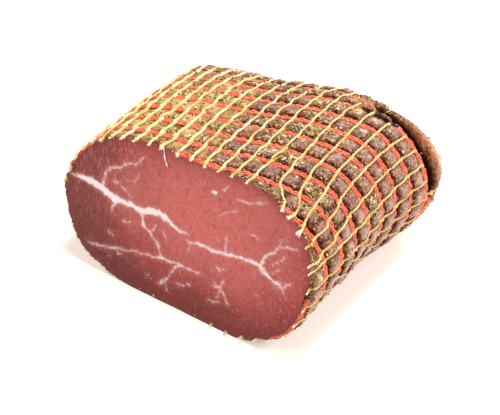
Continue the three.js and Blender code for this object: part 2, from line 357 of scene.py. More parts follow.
# %% Relief of the crust
RING_GROOVE_FLAT, RING_GROOVE_FULL = -1.2, -2.2
PILLOW_FLAT, PILLOW_FULL = 0.15, 1.9
PILLOW_VARIATION = 0.4
# a pillow is no higher than this share of the way between its rings
STEEPEST_PILLOW = 0.33
RING_GROOVE_POWER = 3.4
YARN_GROOVE_WIDTH = 1.5
YARN_GROOVE_FLAT, YARN_GROOVE_FULL = 0.6, 1.4
# the fold at the far right: its string place and spread, and the ring places of its crease and crown
FLAP_STRING, FLAP_SPREAD = 13.9, 2.9
FLAP_HEIGHT, CREASE_DEPTH = 3.0, 6.5
CREASE_RING, CREASE_SPREAD = 7.9, 0.4
FLAP_RING, FLAP_LENGTH = 9.2, 0.8
NET_FADES_BEFORE_FOLD = (7.3, 7.8)
# the curled lip of the fold and the knob at its upper left: height, string place, spread, ring place, length
CURL = (2.6, 14.8, 0.35, 10.1, 0.6)
KNOB = (2.6, -0.6, 1.6, 9.2, 0.6)
# shallow folds over the bare far end
FOLD_HEIGHT, FOLDS_ROUND, FOLD_SLANT = 1.6, 7, 3
EDGE_LEVEL_REACH, EDGE_LEVEL_SHARE = 3.0, 0.75
# hollows between the meat and the slack net at the knife's edge: string place, spread, depth
EDGE_HOLLOWS = [(16.4, 0.9, 2.4), (11.55, 0.3, 1.8), (-5.8, 0.35, 1.6), (-2.1, 0.3, 1.4), (4.1, 0.25, 1.2)]

chance = np.random.default_rng(4127)
PILLOW_CHANCE = chance.uniform(-1, 1, (STRINGS, LAST_RING - FIRST_RING + 8))


def strings_from(j, string):
    """How many strings place j lies past the given string, the short way round."""
    return (j - string + STRINGS / 2) % STRINGS - STRINGS / 2


def noise_at(points, size, seed=0.0):
    """Smooth noise from -1 to 1 with lumps of about the given size, at points in millimetres."""
    flat = (points / size).reshape(-1, 3) + seed
    values = np.array([noise.noise(Vector(p)) for p in flat])
    return values.reshape(points.shape[:-1])


def fullness(points):
    """0 where the crust lies flat under the net, 1 where it bulges most."""
    return smooth_step(-60, 70, points[..., 0] + 0.4 * points[..., 1])


def ring_groove(points):
    """Height of the bottom of the rings' grooves over the smooth body."""
    return RING_GROOVE_FLAT + (RING_GROOVE_FULL - RING_GROOVE_FLAT) * fullness(points)


def flap_side(j):
    """1 where the fold of the far end stands out behind the net, fading to 0 on both sides."""
    return bump(j % STRINGS, FLAP_STRING, FLAP_SPREAD)


def beyond_net(j, y):
    """0 up to the last ring, then 1 at the far tip."""
    last = ring_place(j, LAST_RING)
    return 1 - np.sqrt(np.clip((END_Y - y) / (END_Y - last), 0, 1))


def swelling(j, k, place):
    """Height of one swelling of the far end, such as the curl or the knob."""
    height, string, spread, ring, length = place
    return height * bump(strings_from(j, 0), string, spread) * bump(k, ring, length)


def crust_height(j, y):
    """Height of the crust above the smooth body, in millimetres."""
    points = body_point(j, y)
    full = fullness(points)
    k = ring_number(j, y)
    cell = np.floor(np.minimum(k, LAST_RING + 0.999)).astype(int)
    crown = PILLOW_FLAT + (PILLOW_FULL - PILLOW_FLAT) * full
    crown = crown + PILLOW_VARIATION * PILLOW_CHANCE[np.floor(j).astype(int) % STRINGS, cell]
    pitch = ring_place(j, k + 0.5) - ring_place(j, k - 0.5)
    groove = ring_groove(points)
    crown = np.minimum(crown, STEEPEST_PILLOW * pitch + groove)
    from_ring = np.abs(2 * (k - np.floor(k)) - 1)
    height = groove + (crown - groove) * (1 - from_ring**RING_GROOVE_POWER)
    yarn_step = GIRTH / STRINGS
    from_yarn = np.abs(j - np.round(j)) * yarn_step
    press = YARN_GROOVE_FLAT + (YARN_GROOVE_FULL - YARN_GROOVE_FLAT) * full
    height = np.maximum(height - press * bump(from_yarn, 0, YARN_GROOVE_WIDTH), groove)
    # near the knife's edge the crust is levelled to about half its height
    level = 0.5 * crown - 0.5
    at_edge = 1 - smooth_step(0, EDGE_LEVEL_REACH, behind_cut(points))
    height = height + (level - height) * EDGE_LEVEL_SHARE * at_edge
    for string, spread, depth in EDGE_HOLLOWS:
        height = height - depth * bump(strings_from(j, string), 0, spread) * at_edge
    # behind the last ring the skin is bare, with shallow folds that fade at the net and at the tip
    beyond = beyond_net(j, y)
    folds = FOLD_HEIGHT * np.sin(FOLDS_ROUND * TURN * j + FOLD_SLANT * beyond)
    folds = folds * smooth_step(0, 0.35, beyond) * (1 - smooth_step(0.75, 1, beyond))
    bare = folds + groove * (1 - smooth_step(0, 0.3, beyond))
    height = np.where(beyond > 0, bare, height)
    crease = flap_side(j) * bump(k, CREASE_RING, CREASE_SPREAD)
    flap = flap_side(j) * bump(k, FLAP_RING, FLAP_LENGTH)
    height = height * (1 - flap_side(j) * smooth_step(*NET_FADES_BEFORE_FOLD, k))
    height = height - CREASE_DEPTH * crease + FLAP_HEIGHT * flap
    return height + swelling(j, k, CURL) + swelling(j, k, KNOB)


def on_crust(j, y, lift=0.0):
    """A point on the crust, or lift millimetres above it."""
    return body_point(j, y) + (crust_height(j, y) + lift)[..., None] * body_outward(j, y)


print("pillows up to", PILLOW_FULL, "mm, ring grooves", -RING_GROOVE_FULL, "mm deep")

# %% [markdown]
# The meat is one closed piece. A flat grid is rolled round the body: its first row lies on the plane of the
# cut, its last row gathers in the tip of the far end, and the seam where its sides meet is merged. The relief
# is in the mesh itself, and a finer noise adds the lumps and grain of dried meat.

# %% Rolling a grid
def grid_places(across, along):
    """u and v of every corner of a grid primitive, in its own order."""
    v, u = np.mgrid[0:along + 1, 0:across + 1]
    return u.ravel() / across, v.ravel() / along


def grid_shaped(name, across, along, place):
    """A grid of across x along squares, each corner moved to place(u, v), with u and v from 0 to 1."""
    bpy.ops.object.select_all(action="DESELECT")
    bpy.ops.mesh.primitive_grid_add(x_subdivisions=across, y_subdivisions=along, size=1)
    piece = bpy.context.object
    piece.name = name
    piece.data.vertices.foreach_set("co", to_part(place(*grid_places(across, along))).ravel())
    piece.data.update()
    return piece


BODY_COLUMNS, BODY_ROWS = 368, 166
# the share of the rows that lies under the net
NETTED_SHARE = 0.72
REST_HEIGHT = -1.4
LUMP_SIZE, LUMP_HEIGHT = 13, 0.55
GRAIN_SIZE, GRAIN_HEIGHT, GRAIN_SEED = 3.2, 0.5, 7.3
CUT_SEARCH_STEPS = 14


def cut_start(j):
    """Length y at which the crust meets the cut, for string place j."""
    y = np.zeros_like(j)
    for _ in range(CUT_SEARCH_STEPS):
        y = y - behind_cut(on_crust(j, y))
    return y


def rest_flat(points):
    """The underside is pressed flat where the meat lay."""
    lifted = smooth_step(0.2, 3.2, points[:, 2])
    points[:, 2] = REST_HEIGHT + (np.maximum(points[:, 2], REST_HEIGHT) - REST_HEIGHT) * lifted
    return points


def place_along(u, v):
    """String place and length y of the grid's corner u, v."""
    j = u * STRINGS
    first, last = cut_start(j), ring_place(j, LAST_RING)
    netted = first + (last - first) * np.minimum(v / NETTED_SHARE, 1)
    bare = np.clip((v - NETTED_SHARE) / (1 - NETTED_SHARE), 0, 1)
    return j, np.where(v <= NETTED_SHARE, netted, END_Y - (END_Y - last) * (1 - bare) ** 2)


def crust_lumps(j, y):
    """Height of the crust's lumps and grain, which fade to nothing at the cut and at the tip."""
    points = on_crust(j, y)
    inside = smooth_step(0, 6, behind_cut(points)) * smooth_step(0, 3, END_Y - y)
    lumps = LUMP_HEIGHT * noise_at(points, LUMP_SIZE)
    grains = GRAIN_HEIGHT * noise_at(points, GRAIN_SIZE, GRAIN_SEED)
    return inside * (lumps + grains)


def rough_crust(j, y, lift=0.0):
    """The crust with its lumps and grain, or a place lift millimetres above it."""
    return rest_flat(on_crust(j, y) + (crust_lumps(j, y) + lift)[:, None] * body_outward(j, y))


def body_surface(u, v):
    """The rough crust, with its first row on the plane of the cut and its last row in one point."""
    points = rough_crust(*place_along(u, v))
    front, tip = v < 1e-6, v > 1 - 1e-6
    points[front, 1] = -(CUT_SKEW * points[front, 0] - CUT_LEAN * points[front, 2])
    points[tip] = points[tip].mean(axis=0)
    return points


def write_attribute(piece, name, values):
    """Keeps one value at each point of the mesh, for the finish to read."""
    layer = piece.data.attributes.new(name, "FLOAT", "POINT")
    layer.data.foreach_set("value", np.asarray(values, dtype=np.float32))


beef = grid_shaped("cured_beef", BODY_COLUMNS, BODY_ROWS, body_surface)
print("rolled grid:", len(beef.data.polygons), "squares")

# %% [markdown]
# The crust isn't one colour. It is a tan skin over the top and the left, and plum brown at the right and
# toward the far end; the rub lies in clumps, and has come off in patches. The grooves and the crease beside
# the fold get painted shade, and the crowns of the pillows a painted highlight. These follow the net and the
# body rather than any axis, so they are worked out here and kept at the points of the mesh.

# %% Where the crust is tan and where it is plum
# string place and ring number of patches where the rub has come off and dark meat shows
DARK_PATCHES = [
    (6.0, 5.4), (6.8, 5.3), (6.0, 4.5), (6.6, 2.6), (6.4, 1.6), (7.8, 2.4), (9.4, 1.8), (0.8, 6.7),
    (0.8, 8.1), (-0.5, 8.7), (2.2, 8.6), (3.6, 6.9), (5.4, 6.6), (7.6, 6.4), (4.6, 1.5), (1.0, 9.3),
    (-1.2, 9.4), (2.8, 9.3), (0.2, 8.9), (4.4, 8.4), (6.4, 8.2), (-2.4, 9.0),
]


def near_patch(j, k, patches, strings, rings):
    """1 in the middle of the nearest patch, 0 away from all of them."""
    nearest = np.zeros(np.shape(j))
    for string, ring in patches:
        aside = strings_from(j, string) / strings
        nearest = np.maximum(nearest, np.exp(-(aside**2) - ((k - ring) / rings) ** 2))
    return nearest


def crust_tone(j, k):
    """0 where the crust is a tan skin, 1 where it is plum brown: to the right and toward the far end."""
    turned = strings_from(j, 0)
    right = smooth_step(3.0, 10.0, turned) * (1 - 0.4 * smooth_step(17.0, 22.0, turned))
    left = 0.35 * smooth_step(-4.0, -9.0, turned)
    far = 0.6 * smooth_step(6.2, 8.6, k)
    tone = right + (left + far) * (1 - right) + 1.2 * near_patch(j, k, DARK_PATCHES, 0.6, 0.4)
    return np.clip(tone, 0, 1)


print("plum patches:", len(DARK_PATCHES))

# %% Where the rub lies, and the painted shade and highlight of the relief
# string place and ring number of patches where the rub lies thick
RUB_PATCHES = [
    (6.2, 4.4), (8.8, 4.1), (9.8, 4.7), (10.4, 7.9), (10.4, 8.4), (15.0, 3.5), (3.4, 5.8), (8.4, 2.7),
    (9.8, 2.5), (4.6, 3.3), (9.2, 6.2), (1.5, 3.2), (-1.5, 5.0), (11.2, 8.6), (12.4, 1.2), (9.6, 8.8),
]
CLUMP_SIZE, CLUMP_SEED = 6.5, 3.1


def bare_skin(j, k):
    """1 on the smooth fold behind the net."""
    return bump(j % STRINGS, FLAP_STRING + 0.3, 2.6) * smooth_step(7.9, 8.4, k)


def rub_thickness(j, y):
    """How thick the rub lies, from 0 to 1: in clumps, most of it over the top and the left."""
    k = ring_number(j, y)
    clumps = smooth_step(-0.25, 0.3, noise_at(body_point(j, y), CLUMP_SIZE, CLUMP_SEED))
    over_top = 0.06 + 0.5 * bump(strings_from(j, 0), 2.5, 8.0)
    patchy = near_patch(j, k, RUB_PATCHES, 0.9, 0.5)
    bare = near_patch(j, k, DARK_PATCHES, 0.55, 0.4) + bare_skin(j, k)
    return np.clip(over_top * clumps + 0.8 * patchy, 0, 1) * np.clip(1 - bare, 0, 1)


grid_j, grid_y = place_along(*grid_places(BODY_COLUMNS, BODY_ROWS))
grid_k = ring_number(grid_j, grid_y)
write_attribute(beef, "tone", crust_tone(grid_j, grid_k))
near_ring = np.abs(2 * (grid_k - np.floor(grid_k)) - 1)
near_yarn = bump((grid_j - np.round(grid_j)) * GIRTH / STRINGS, 0, 1.5)
pressed = fullness(body_point(grid_j, grid_y))
in_net = (beyond_net(grid_j, grid_y) <= 0) * (1 - bare_skin(grid_j, grid_k))
# painted shade: darkness for the grooves beside the rings and yarns, and for the crease beside the fold
hollow = np.maximum(smooth_step(0.4, 0.85, near_ring), 0.45 * near_yarn) * (0.55 + 0.45 * pressed) * in_net
crease_shade = 1.6 * smooth_step(0.05, 0.4, flap_side(grid_j)) * bump(grid_k, CREASE_RING + 0.05, 0.5)
write_attribute(beef, "hollow", np.maximum(hollow, crease_shade))
# painted highlight: the crowns of the pillows, for the crust's finish to make paler
write_attribute(beef, "crest", (1 - smooth_step(0.0, 0.6, near_ring)) * (1 - near_yarn) * pressed * in_net)
write_attribute(beef, "bare_flap", bare_skin(grid_j, grid_k))
write_attribute(beef, "rub", rub_thickness(grid_j, grid_y))
print("tone, depth and rub kept at", len(grid_j), "points")

# %% [markdown]
# The front is still open. Grid Fill closes it with a fine and even mesh, which the marbling needs, and starts
# from the lower left corner, so that its rows run straight. One subdivision makes every square finer.

# %% Closing the front
FACE_SQUARES_UP = 68

bpy.ops.object.mode_set(mode="EDIT")
bpy.ops.mesh.select_all(action="SELECT")
bpy.ops.mesh.remove_doubles(threshold=0.02 * MM)
bpy.ops.mesh.select_all(action="DESELECT")
work = bmesh.from_edit_mesh(beef.data)
for edge in work.edges:
    edge.select_set(edge.is_boundary)
rim = [vertex for vertex in work.verts if vertex.select]
lower_left = min(rim, key=lambda vertex: vertex.co.x + 0.9 * vertex.co.z)
work.select_history.clear()
work.select_history.add(lower_left)
bmesh.update_edit_mesh(beef.data)
bpy.ops.mesh.fill_grid(span=FACE_SQUARES_UP, use_interp_simple=True)
bpy.ops.mesh.subdivide(number_cuts=1)
bpy.ops.mesh.select_all(action="SELECT")
bpy.ops.mesh.normals_make_consistent(inside=False)
bpy.ops.object.mode_set(mode="OBJECT")
bpy.ops.object.shade_smooth_by_angle(angle=math.radians(52))
print("meat with its cut face:", len(beef.data.polygons), "faces, rim of", len(rim), "points")

# %% [markdown]
# Marbling is fat and sinew that ran between the muscles. Each vein is given as a line over the cut,
# with its width at every point, in millimetres from the middle of the piece and from the table. The mesh
# keeps its distance to the nearest vein as an attribute, and the finish turns that into soft-edged white fat.

# %% Veins of fat
VEINS = {
    "main": [
        (-86.7, 50.5, 0.7), (-80.7, 51.2, 1.5), (-73.5, 51.4, 3.4), (-67.3, 50.6, 4.0), (-62.1, 49.3, 3.8),
        (-57.6, 47.8, 3.9), (-54.0, 47.1, 4.2), (-49.0, 47.4, 3.2), (-44.0, 48.0, 2.8), (-39.7, 47.3, 2.9),
        (-35.5, 46.9, 3.6), (-29.4, 49.2, 3.0), (-23.8, 50.3, 3.6), (-17.7, 48.4, 2.1), (-12.8, 46.4, 1.5),
        (-8.0, 45.4, 1.0), (-3.5, 45.3, 0.5),
    ],
    "loop": [
        (-60.6, 49.6, 1.3), (-63.4, 51.9, 1.0), (-63.9, 56.0, 0.9), (-62.0, 60.2, 0.9), (-59.3, 63.4, 1.0),
        (-55.1, 65.8, 1.0), (-52.2, 65.3, 0.7), (-48.9, 69.2, 0.6), (-46.2, 70.7, 0.6), (-42.1, 71.0, 0.6),
        (-39.5, 73.6, 0.5), (-37.0, 77.8, 0.3),
    ],
    "fork_below": [(-53.9, 46.2, 1.4), (-55.9, 42.5, 0.7), (-57.1, 38.5, 0.4)],
    "middle_branch": [
        (-36.9, 46.6, 1.2), (-34.9, 42.3, 1.0), (-34.3, 39.6, 1.3), (-29.9, 37.0, 0.9), (-24.0, 32.8, 0.8),
        (-21.6, 28.5, 0.6), (-20.0, 25.6, 0.6),
    ],
    "lower_left": [(-73.0, 15.0, 0.3), (-64.0, 15.6, 0.4), (-55.2, 17.7, 0.6), (-52.3, 19.4, 0.5)],
    "lower": [
        (-52.3, 18.8, 0.5), (-43.7, 20.4, 0.5), (-35.2, 22.5, 0.5), (-26.8, 24.0, 0.6), (-19.9, 25.0, 1.2),
        (-13.1, 26.0, 0.7), (-7.7, 26.4, 0.9), (-0.9, 26.2, 0.6), (5.7, 26.6, 0.3),
    ],
    "lower_stub": [(-52.3, 18.8, 0.6), (-50.7, 15.8, 0.6), (-48.5, 16.6, 0.4)],
    "lower_branch": [(-9.0, 25.3, 0.9), (-13.3, 20.0, 0.7), (-16.9, 13.1, 0.7), (-21.5, 10.0, 0.4)],
    "lower_twig": [(-16.9, 13.1, 0.5), (-15.8, 8.2, 0.3)],
    "right": [
        (-2.3, 41.3, 0.7), (4.2, 42.7, 1.2), (12.0, 42.9, 1.4), (20.3, 43.9, 1.3), (29.6, 45.9, 1.3),
        (35.8, 46.2, 1.4), (40.8, 45.9, 1.4), (45.4, 43.4, 1.3), (49.9, 41.3, 1.3), (55.6, 39.3, 1.1),
    ],
    "right_up": [(20.3, 43.9, 1.0), (20.3, 49.5, 0.6), (20.5, 54.1, 0.3)],
    "right_fork": [
        (42.0, 45.9, 1.0), (43.8, 51.0, 1.2), (45.9, 54.1, 0.8), (49.9, 56.2, 1.0), (51.7, 60.7, 0.6),
        (52.6, 62.7, 0.3),
    ],
    "right_fork_tip": [(50.7, 58.7, 0.6), (56.3, 61.4, 0.5), (62.6, 62.8, 0.3)],
    "right_tip": [(55.6, 39.3, 0.8), (61.0, 43.7, 0.4)],
    "right_drop": [(55.6, 39.3, 0.5), (58.6, 34.4, 0.3)],
    "right_thin": [(47.9, 47.2, 0.3), (52.2, 52.2, 0.4), (55.3, 55.6, 0.3)],
    "low_middle": [(19.1, 24.6, 0.6), (22.1, 20.6, 0.6), (25.2, 15.5, 0.4)],
    "low_middle_twig": [(19.9, 23.2, 0.6), (17.1, 17.9, 0.4)],
    "low_middle_top": [(15.0, 25.8, 0.3), (19.1, 24.0, 0.5)],
    "top_right": [(24.4, 75.7, 0.3), (31.2, 75.5, 0.4), (35.8, 77.7, 0.4), (42.7, 80.2, 0.2)],
    "twig": [(-29.2, 37.3, 0.3), (-25.4, 42.2, 0.3)],
    "fine_left_v": [(-48.5, 36.7, 0.3), (-47.2, 36.4, 0.5), (-45.1, 36.6, 0.3), (-42.4, 38.7, 0.3)],
    "fine_left_dash": [(-57.9, 27.2, 0.5), (-57.1, 26.0, 0.5)],
    "fine_left_dash_below": [(-55.7, 27.1, 0.4), (-54.9, 25.6, 0.3)],
    "fine_low_hook": [(15.9, 34.3, 0.5), (17.2, 33.3, 0.5), (20.6, 34.7, 0.3)],
    "fine_low_y": [(13.4, 22.2, 0.2), (18.5, 23.9, 0.5), (20.2, 26.5, 0.4), (20.9, 28.8, 0.2)],
    "fine_mid_dash": [(34.7, 60.6, 0.3), (37.2, 60.8, 0.4), (39.7, 59.8, 0.5)],
    "fine_right_bow": [(50.0, 44.7, 0.2), (53.2, 48.9, 0.3), (55.1, 53.4, 0.3), (55.0, 56.0, 0.2)],
    "fine_upper": [(14.4, 63.4, 0.2), (19.8, 66.5, 0.3), (24.5, 69.0, 0.2)],
    "speck": [(10.3, 74.1, 1.5), (11.5, 74.0, 1.9)],
    "speck_beside": [(16.1, 77.8, 0.5), (18.4, 79.7, 0.4)],
    "fine_above_main": [
        (-56.0, 56.5, 0.3), (-51.7, 56.9, 0.2), (-49.5, 55.3, 0.3), (-45.9, 54.3, 0.3), (-44.3, 52.6, 0.2),
    ],
    "fine_above_loop": [(-46.3, 60.5, 0.2), (-41.5, 62.7, 0.3), (-38.9, 65.9, 0.2)],
    "fine_low_left": [(-9.4, 15.0, 0.2), (-4.7, 15.2, 0.3), (-0.1, 17.7, 0.2)],
    "fine_low_right": [(12.2, 14.1, 0.2), (16.2, 14.0, 0.3), (19.3, 15.9, 0.2)],
    "fine_middle": [(-4.4, 42.2, 0.2), (-2.1, 39.6, 0.3), (-3.1, 35.8, 0.2)],
    "fine_middle_left": [(-20.5, 40.6, 0.2), (-17.6, 38.3, 0.3), (-18.0, 35.2, 0.2)],
}
FAR_FROM_FAT = 60.0
# veins waver: each given line is bent by up to this much, over bends of these sizes across and up
VEIN_WAVER = 1.1
WAVER_ACROSS, WAVER_UP = 5.0, 4.0


def depth_in_vein(across, up):
    """Distance to the nearest vein's edge in millimetres, negative inside it, and that vein's width."""
    nearest = np.full(across.shape, FAR_FROM_FAT)
    width = np.zeros(across.shape)
    here = np.column_stack((across, up, np.zeros_like(up)))
    across = across + VEIN_WAVER * noise_at(here, WAVER_ACROSS, 11.0)
    up = up + VEIN_WAVER * noise_at(here, WAVER_UP, 23.0)
    for vein in VEINS.values():
        for (x0, z0, w0), (x1, z1, w1) in zip(vein, vein[1:]):
            run = (x1 - x0) ** 2 + (z1 - z0) ** 2
            t = np.clip(((across - x0) * (x1 - x0) + (up - z0) * (z1 - z0)) / run, 0, 1)
            wide = w0 + t * (w1 - w0)
            gap = np.hypot(across - x0 - t * (x1 - x0), up - z0 - t * (z1 - z0)) - wide / 2
            width = np.where(gap < nearest, wide, width)
            nearest = np.minimum(nearest, gap)
    return nearest, width


def vertex_points(piece):
    """The mesh's points, in metres."""
    flat = np.empty(len(piece.data.vertices) * 3)
    piece.data.vertices.foreach_get("co", flat)
    return flat.reshape(-1, 3)


ON_CUT_WITHIN = 0.02
corners = vertex_points(beef)
mm_points = corners / MM
on_cut = behind_cut(mm_points + BODY_ORIGIN) < ON_CUT_WITHIN
fat = np.full(len(corners), FAR_FROM_FAT)
fat_width = np.zeros(len(corners))
fat[on_cut], fat_width[on_cut] = depth_in_vein(mm_points[on_cut, 0], mm_points[on_cut, 2])
write_attribute(beef, "to_fat", fat)
write_attribute(beef, "fat_width", fat_width)
print(len(VEINS), "veins over", int(on_cut.sum()), "points of the cut")

# %% [markdown]
# The cut dries first along its rim, where it meets the crust. A tree of the rim's points finds the nearest
# one to each point of the cut, and the finish darkens the meat by that distance.

# %% Distance from the rim
rim_tree = kdtree.KDTree(len(corners))
in_face = np.zeros(len(corners), dtype=int)
in_crust = np.zeros(len(corners), dtype=int)
cut_faces = []
for polygon in beef.data.polygons:
    members = list(polygon.vertices)
    is_cut = bool(on_cut[members].all())
    (in_face if is_cut else in_crust)[members] = 1
    cut_faces.append(is_cut)
rim_numbers = np.nonzero(in_face & in_crust)[0]
for number in rim_numbers:
    rim_tree.insert(beef.data.vertices[number].co, int(number))
rim_tree.balance()
rim_gap = np.zeros(len(corners))
for number in np.nonzero(in_face)[0]:
    rim_gap[number] = rim_tree.find(beef.data.vertices[int(number)].co)[2] / MM
write_attribute(beef, "from_rim", rim_gap)
print("widest way in from the rim, mm:", round(float(rim_gap.max()), 1))

# %% [markdown]
# The cut is moist, fine-grained muscle: rosy in the middle and darker toward the left and the rim. Fibres cut
# across show as tiny pale flecks and dark strokes, and at the upper left, where they lie along the cut, as
# pale streaks. A knife leaves it satin, and light goes a little way in, so it gets some scattering. Each
# noise is as fine as the grain it stands for, in millimetres.

# %% Finish of the cut
cut_finish, tree, shader = new_finish("cut_beef")
place = node(tree, "ShaderNodeTexCoord").outputs["Object"]
split = node(tree, "ShaderNodeSeparateXYZ", {"Vector": place})
to_fat = node(tree, "ShaderNodeAttribute", attribute_name="to_fat").outputs["Fac"]
fat_wide = node(tree, "ShaderNodeAttribute", attribute_name="fat_width").outputs["Fac"]
from_rim = node(tree, "ShaderNodeAttribute", attribute_name="from_rim").outputs["Fac"]
wander = node(tree, "ShaderNodeTexNoise", {
    "Vector": place, "Scale": per_mm(22), "Detail": 4.0,
}).outputs["Fac"]
# how far out from the rosy middle, which lies right of the centre: 1 at 90 mm to the side or 55 mm up or down
outer = node(tree, "ShaderNodeMapping", {
    "Vector": place, "Location": (-8 / 90, 0, -58 / 55), "Scale": (per_mm(90), 0, per_mm(55)),
}).outputs["Vector"]
outer = node(tree, "ShaderNodeVectorMath", {0: outer}, operation="LENGTH").outputs["Value"]
outer = node(tree, "ShaderNodeMath", {0: wander, 1: 0.5, 2: outer}, operation="MULTIPLY_ADD").outputs[0]
muscle = node(tree, "ShaderNodeValToRGB", {"Fac": node(tree, "ShaderNodeMapRange", {
    "Value": outer, "From Min": 0.45, "From Max": 1.45,
}).outputs["Result"]}, stops=[
    (0.0, colour("#ce635e")), (1.0, colour("#661a18")), (0.3, colour("#bc5953")), (0.52, colour("#a53c37")),
    (0.68, colour("#822a26")),
])
fleck_noise = node(tree, "ShaderNodeTexNoise", {
    "Vector": place, "Scale": per_mm(1.3), "Detail": 3.0, "Roughness": 0.62, "Distortion": 0.8,
}).outputs["Fac"]
flecks = node(tree, "ShaderNodeMapRange", {
    "Value": fleck_noise, "From Min": 0.5, "From Max": 0.74, "To Max": 0.5,
}).outputs["Result"]
fresh = node(tree, "ShaderNodeMapRange", {
    "Value": outer, "From Min": 0.9, "From Max": 1.3, "To Min": 1.0, "To Max": 0.3,
}).outputs["Result"]
flecks = node(tree, "ShaderNodeMath", {0: flecks, 1: fresh}, operation="MULTIPLY").outputs[0]
flecked = node(tree, "ShaderNodeMix", {
    0: flecks, 6: muscle.outputs["Color"], 7: colour("#d28b85"),
}, data_type="RGBA").outputs[2]
dark_noise = node(tree, "ShaderNodeTexNoise", {
    "Vector": place, "Scale": per_mm(3.2), "Detail": 5.0, "Roughness": 0.65,
}).outputs["Fac"]
dark = node(tree, "ShaderNodeMapRange", {
    "Value": dark_noise, "From Min": 0.5, "From Max": 0.72, "To Max": 0.55,
}).outputs["Result"]
grained = node(tree, "ShaderNodeMix", {
    0: dark, 6: flecked, 7: colour("#8a3835"),
}, data_type="RGBA").outputs[2]
# short dark strokes, where a bundle of fibres dips under the cut
stroke_place = node(tree, "ShaderNodeMapping", {
    "Vector": place, "Rotation": (0, math.radians(32), 0), "Scale": (per_mm(0.9), per_mm(0.9), per_mm(3.6)),
}).outputs["Vector"]
stroke = node(tree, "ShaderNodeTexNoise", {
    "Vector": stroke_place, "Scale": 1.0, "Detail": 1.0,
}).outputs["Fac"]
stroke = node(tree, "ShaderNodeMapRange", {
    "Value": stroke, "From Min": 0.64, "From Max": 0.74, "To Max": 0.55,
}).outputs["Result"]
stroked = node(tree, "ShaderNodeMix", {
    0: stroke, 6: grained, 7: colour("#7c2a2a"),
}, data_type="RGBA").outputs[2]
# pale streaks of fibres that lie along the cut at the left
streak_place = node(tree, "ShaderNodeMapping", {
    "Vector": place, "Rotation": (0, math.radians(-8), 0), "Scale": (per_mm(1.3), per_mm(1.3), per_mm(11)),
}).outputs["Vector"]
streak = node(tree, "ShaderNodeTexNoise", {
    "Vector": streak_place, "Scale": 1.0, "Detail": 3.0,
}).outputs["Fac"]
streak = node(tree, "ShaderNodeMapRange", {
    "Value": streak, "From Min": 0.48, "From Max": 0.75, "To Max": 0.5,
}).outputs["Result"]
at_left = node(tree, "ShaderNodeMapRange", {
    "Value": split.outputs["X"], "From Min": -30 * MM, "From Max": -60 * MM, "To Min": 0.1,
}).outputs["Result"]
at_top = node(tree, "ShaderNodeMapRange", {
    "Value": split.outputs["Z"], "From Min": 22 * MM, "From Max": 60 * MM, "To Min": 0.15,
}).outputs["Result"]
streak = node(tree, "ShaderNodeMath", {0: streak, 1: at_left}, operation="MULTIPLY").outputs[0]
streak = node(tree, "ShaderNodeMath", {0: streak, 1: at_top}, operation="MULTIPLY").outputs[0]
streaked = node(tree, "ShaderNodeMix", {
    0: streak, 6: stroked, 7: colour("#c98a87"),
}, data_type="RGBA").outputs[2]
# thin soft sinews, where a slow noise passes its middle value
bundle = node(tree, "ShaderNodeTexNoise", {
    "Vector": place, "Scale": per_mm(13), "Detail": 4.0,
}).outputs["Fac"]
bundle = node(tree, "ShaderNodeMath", {0: bundle, 1: -0.5}, operation="ADD").outputs[0]
bundle = node(tree, "ShaderNodeMath", {0: bundle}, operation="ABSOLUTE").outputs[0]
sinew = node(tree, "ShaderNodeMapRange", {
    "Value": bundle, "From Min": 0.0, "From Max": 0.011, "To Min": 0.5, "To Max": 0.0,
}).outputs["Result"]
patchy = node(tree, "ShaderNodeTexNoise", {
    "Vector": place, "Scale": per_mm(7), "Detail": 2.0,
}).outputs["Fac"]
patchy = node(tree, "ShaderNodeMapRange", {
    "Value": patchy, "From Min": 0.48, "From Max": 0.66,
}).outputs["Result"]
sinew = node(tree, "ShaderNodeMath", {0: sinew, 1: patchy}, operation="MULTIPLY").outputs[0]
sinewy = node(tree, "ShaderNodeMix", {
    0: sinew, 6: streaked, 7: colour("#d99f9a"),
}, data_type="RGBA").outputs[2]
# the dried rim
dried = node(tree, "ShaderNodeMapRange", {
    "Value": from_rim, "From Min": 0.0, "From Max": 4.5, "To Min": 0.5, "To Max": 0.0,
}).outputs["Result"]
rimmed = node(tree, "ShaderNodeMix", {0: dried, 6: sinewy, 7: colour("#85332f")}, data_type="RGBA").outputs[2]
# fat with a frayed edge that fades through pink into the meat; thin veins stay pinker than thick ones
fray = node(tree, "ShaderNodeTexNoise", {
    "Vector": place, "Scale": per_mm(2.4), "Detail": 4.0, "Roughness": 0.65,
}).outputs["Fac"]
frayed = node(tree, "ShaderNodeMath", {0: fray, 1: 3.4, 2: to_fat}, operation="MULTIPLY_ADD").outputs[0]
halo = node(tree, "ShaderNodeMapRange", {
    "Value": frayed, "From Min": 1.4, "From Max": 4.2, "To Min": 0.55, "To Max": 0.0,
}).outputs["Result"]
fat_share = node(tree, "ShaderNodeMapRange", {
    "Value": fat_wide, "From Min": 0.2, "From Max": 1.6, "To Min": 0.5, "To Max": 1.0,
}).outputs["Result"]
halo = node(tree, "ShaderNodeMath", {0: halo, 1: fat_share}, operation="MULTIPLY").outputs[0]
haloed = node(tree, "ShaderNodeMix", {0: halo, 6: rimmed, 7: colour("#cc817c")}, data_type="RGBA").outputs[2]
white = node(tree, "ShaderNodeMapRange", {
    "Value": frayed, "From Min": 1.1, "From Max": 2.35, "To Min": 1.0, "To Max": 0.0,
}).outputs["Result"]
white = node(tree, "ShaderNodeMath", {0: white, 1: fat_share}, operation="MULTIPLY").outputs[0]
fatty = node(tree, "ShaderNodeMix", {0: white, 6: haloed, 7: colour("#f5e3e6")}, data_type="RGBA").outputs[2]
tree.links.new(fatty, shader.inputs["Base Color"])
shader.inputs["Roughness"].default_value = 0.5
shader.inputs["IOR"].default_value = 1.34
shader.inputs["Subsurface Weight"].default_value = 0.15
shader.inputs["Subsurface Radius"].default_value = (1.0, 0.35, 0.25)
shader.inputs["Subsurface Scale"].default_value = 1.5 * MM
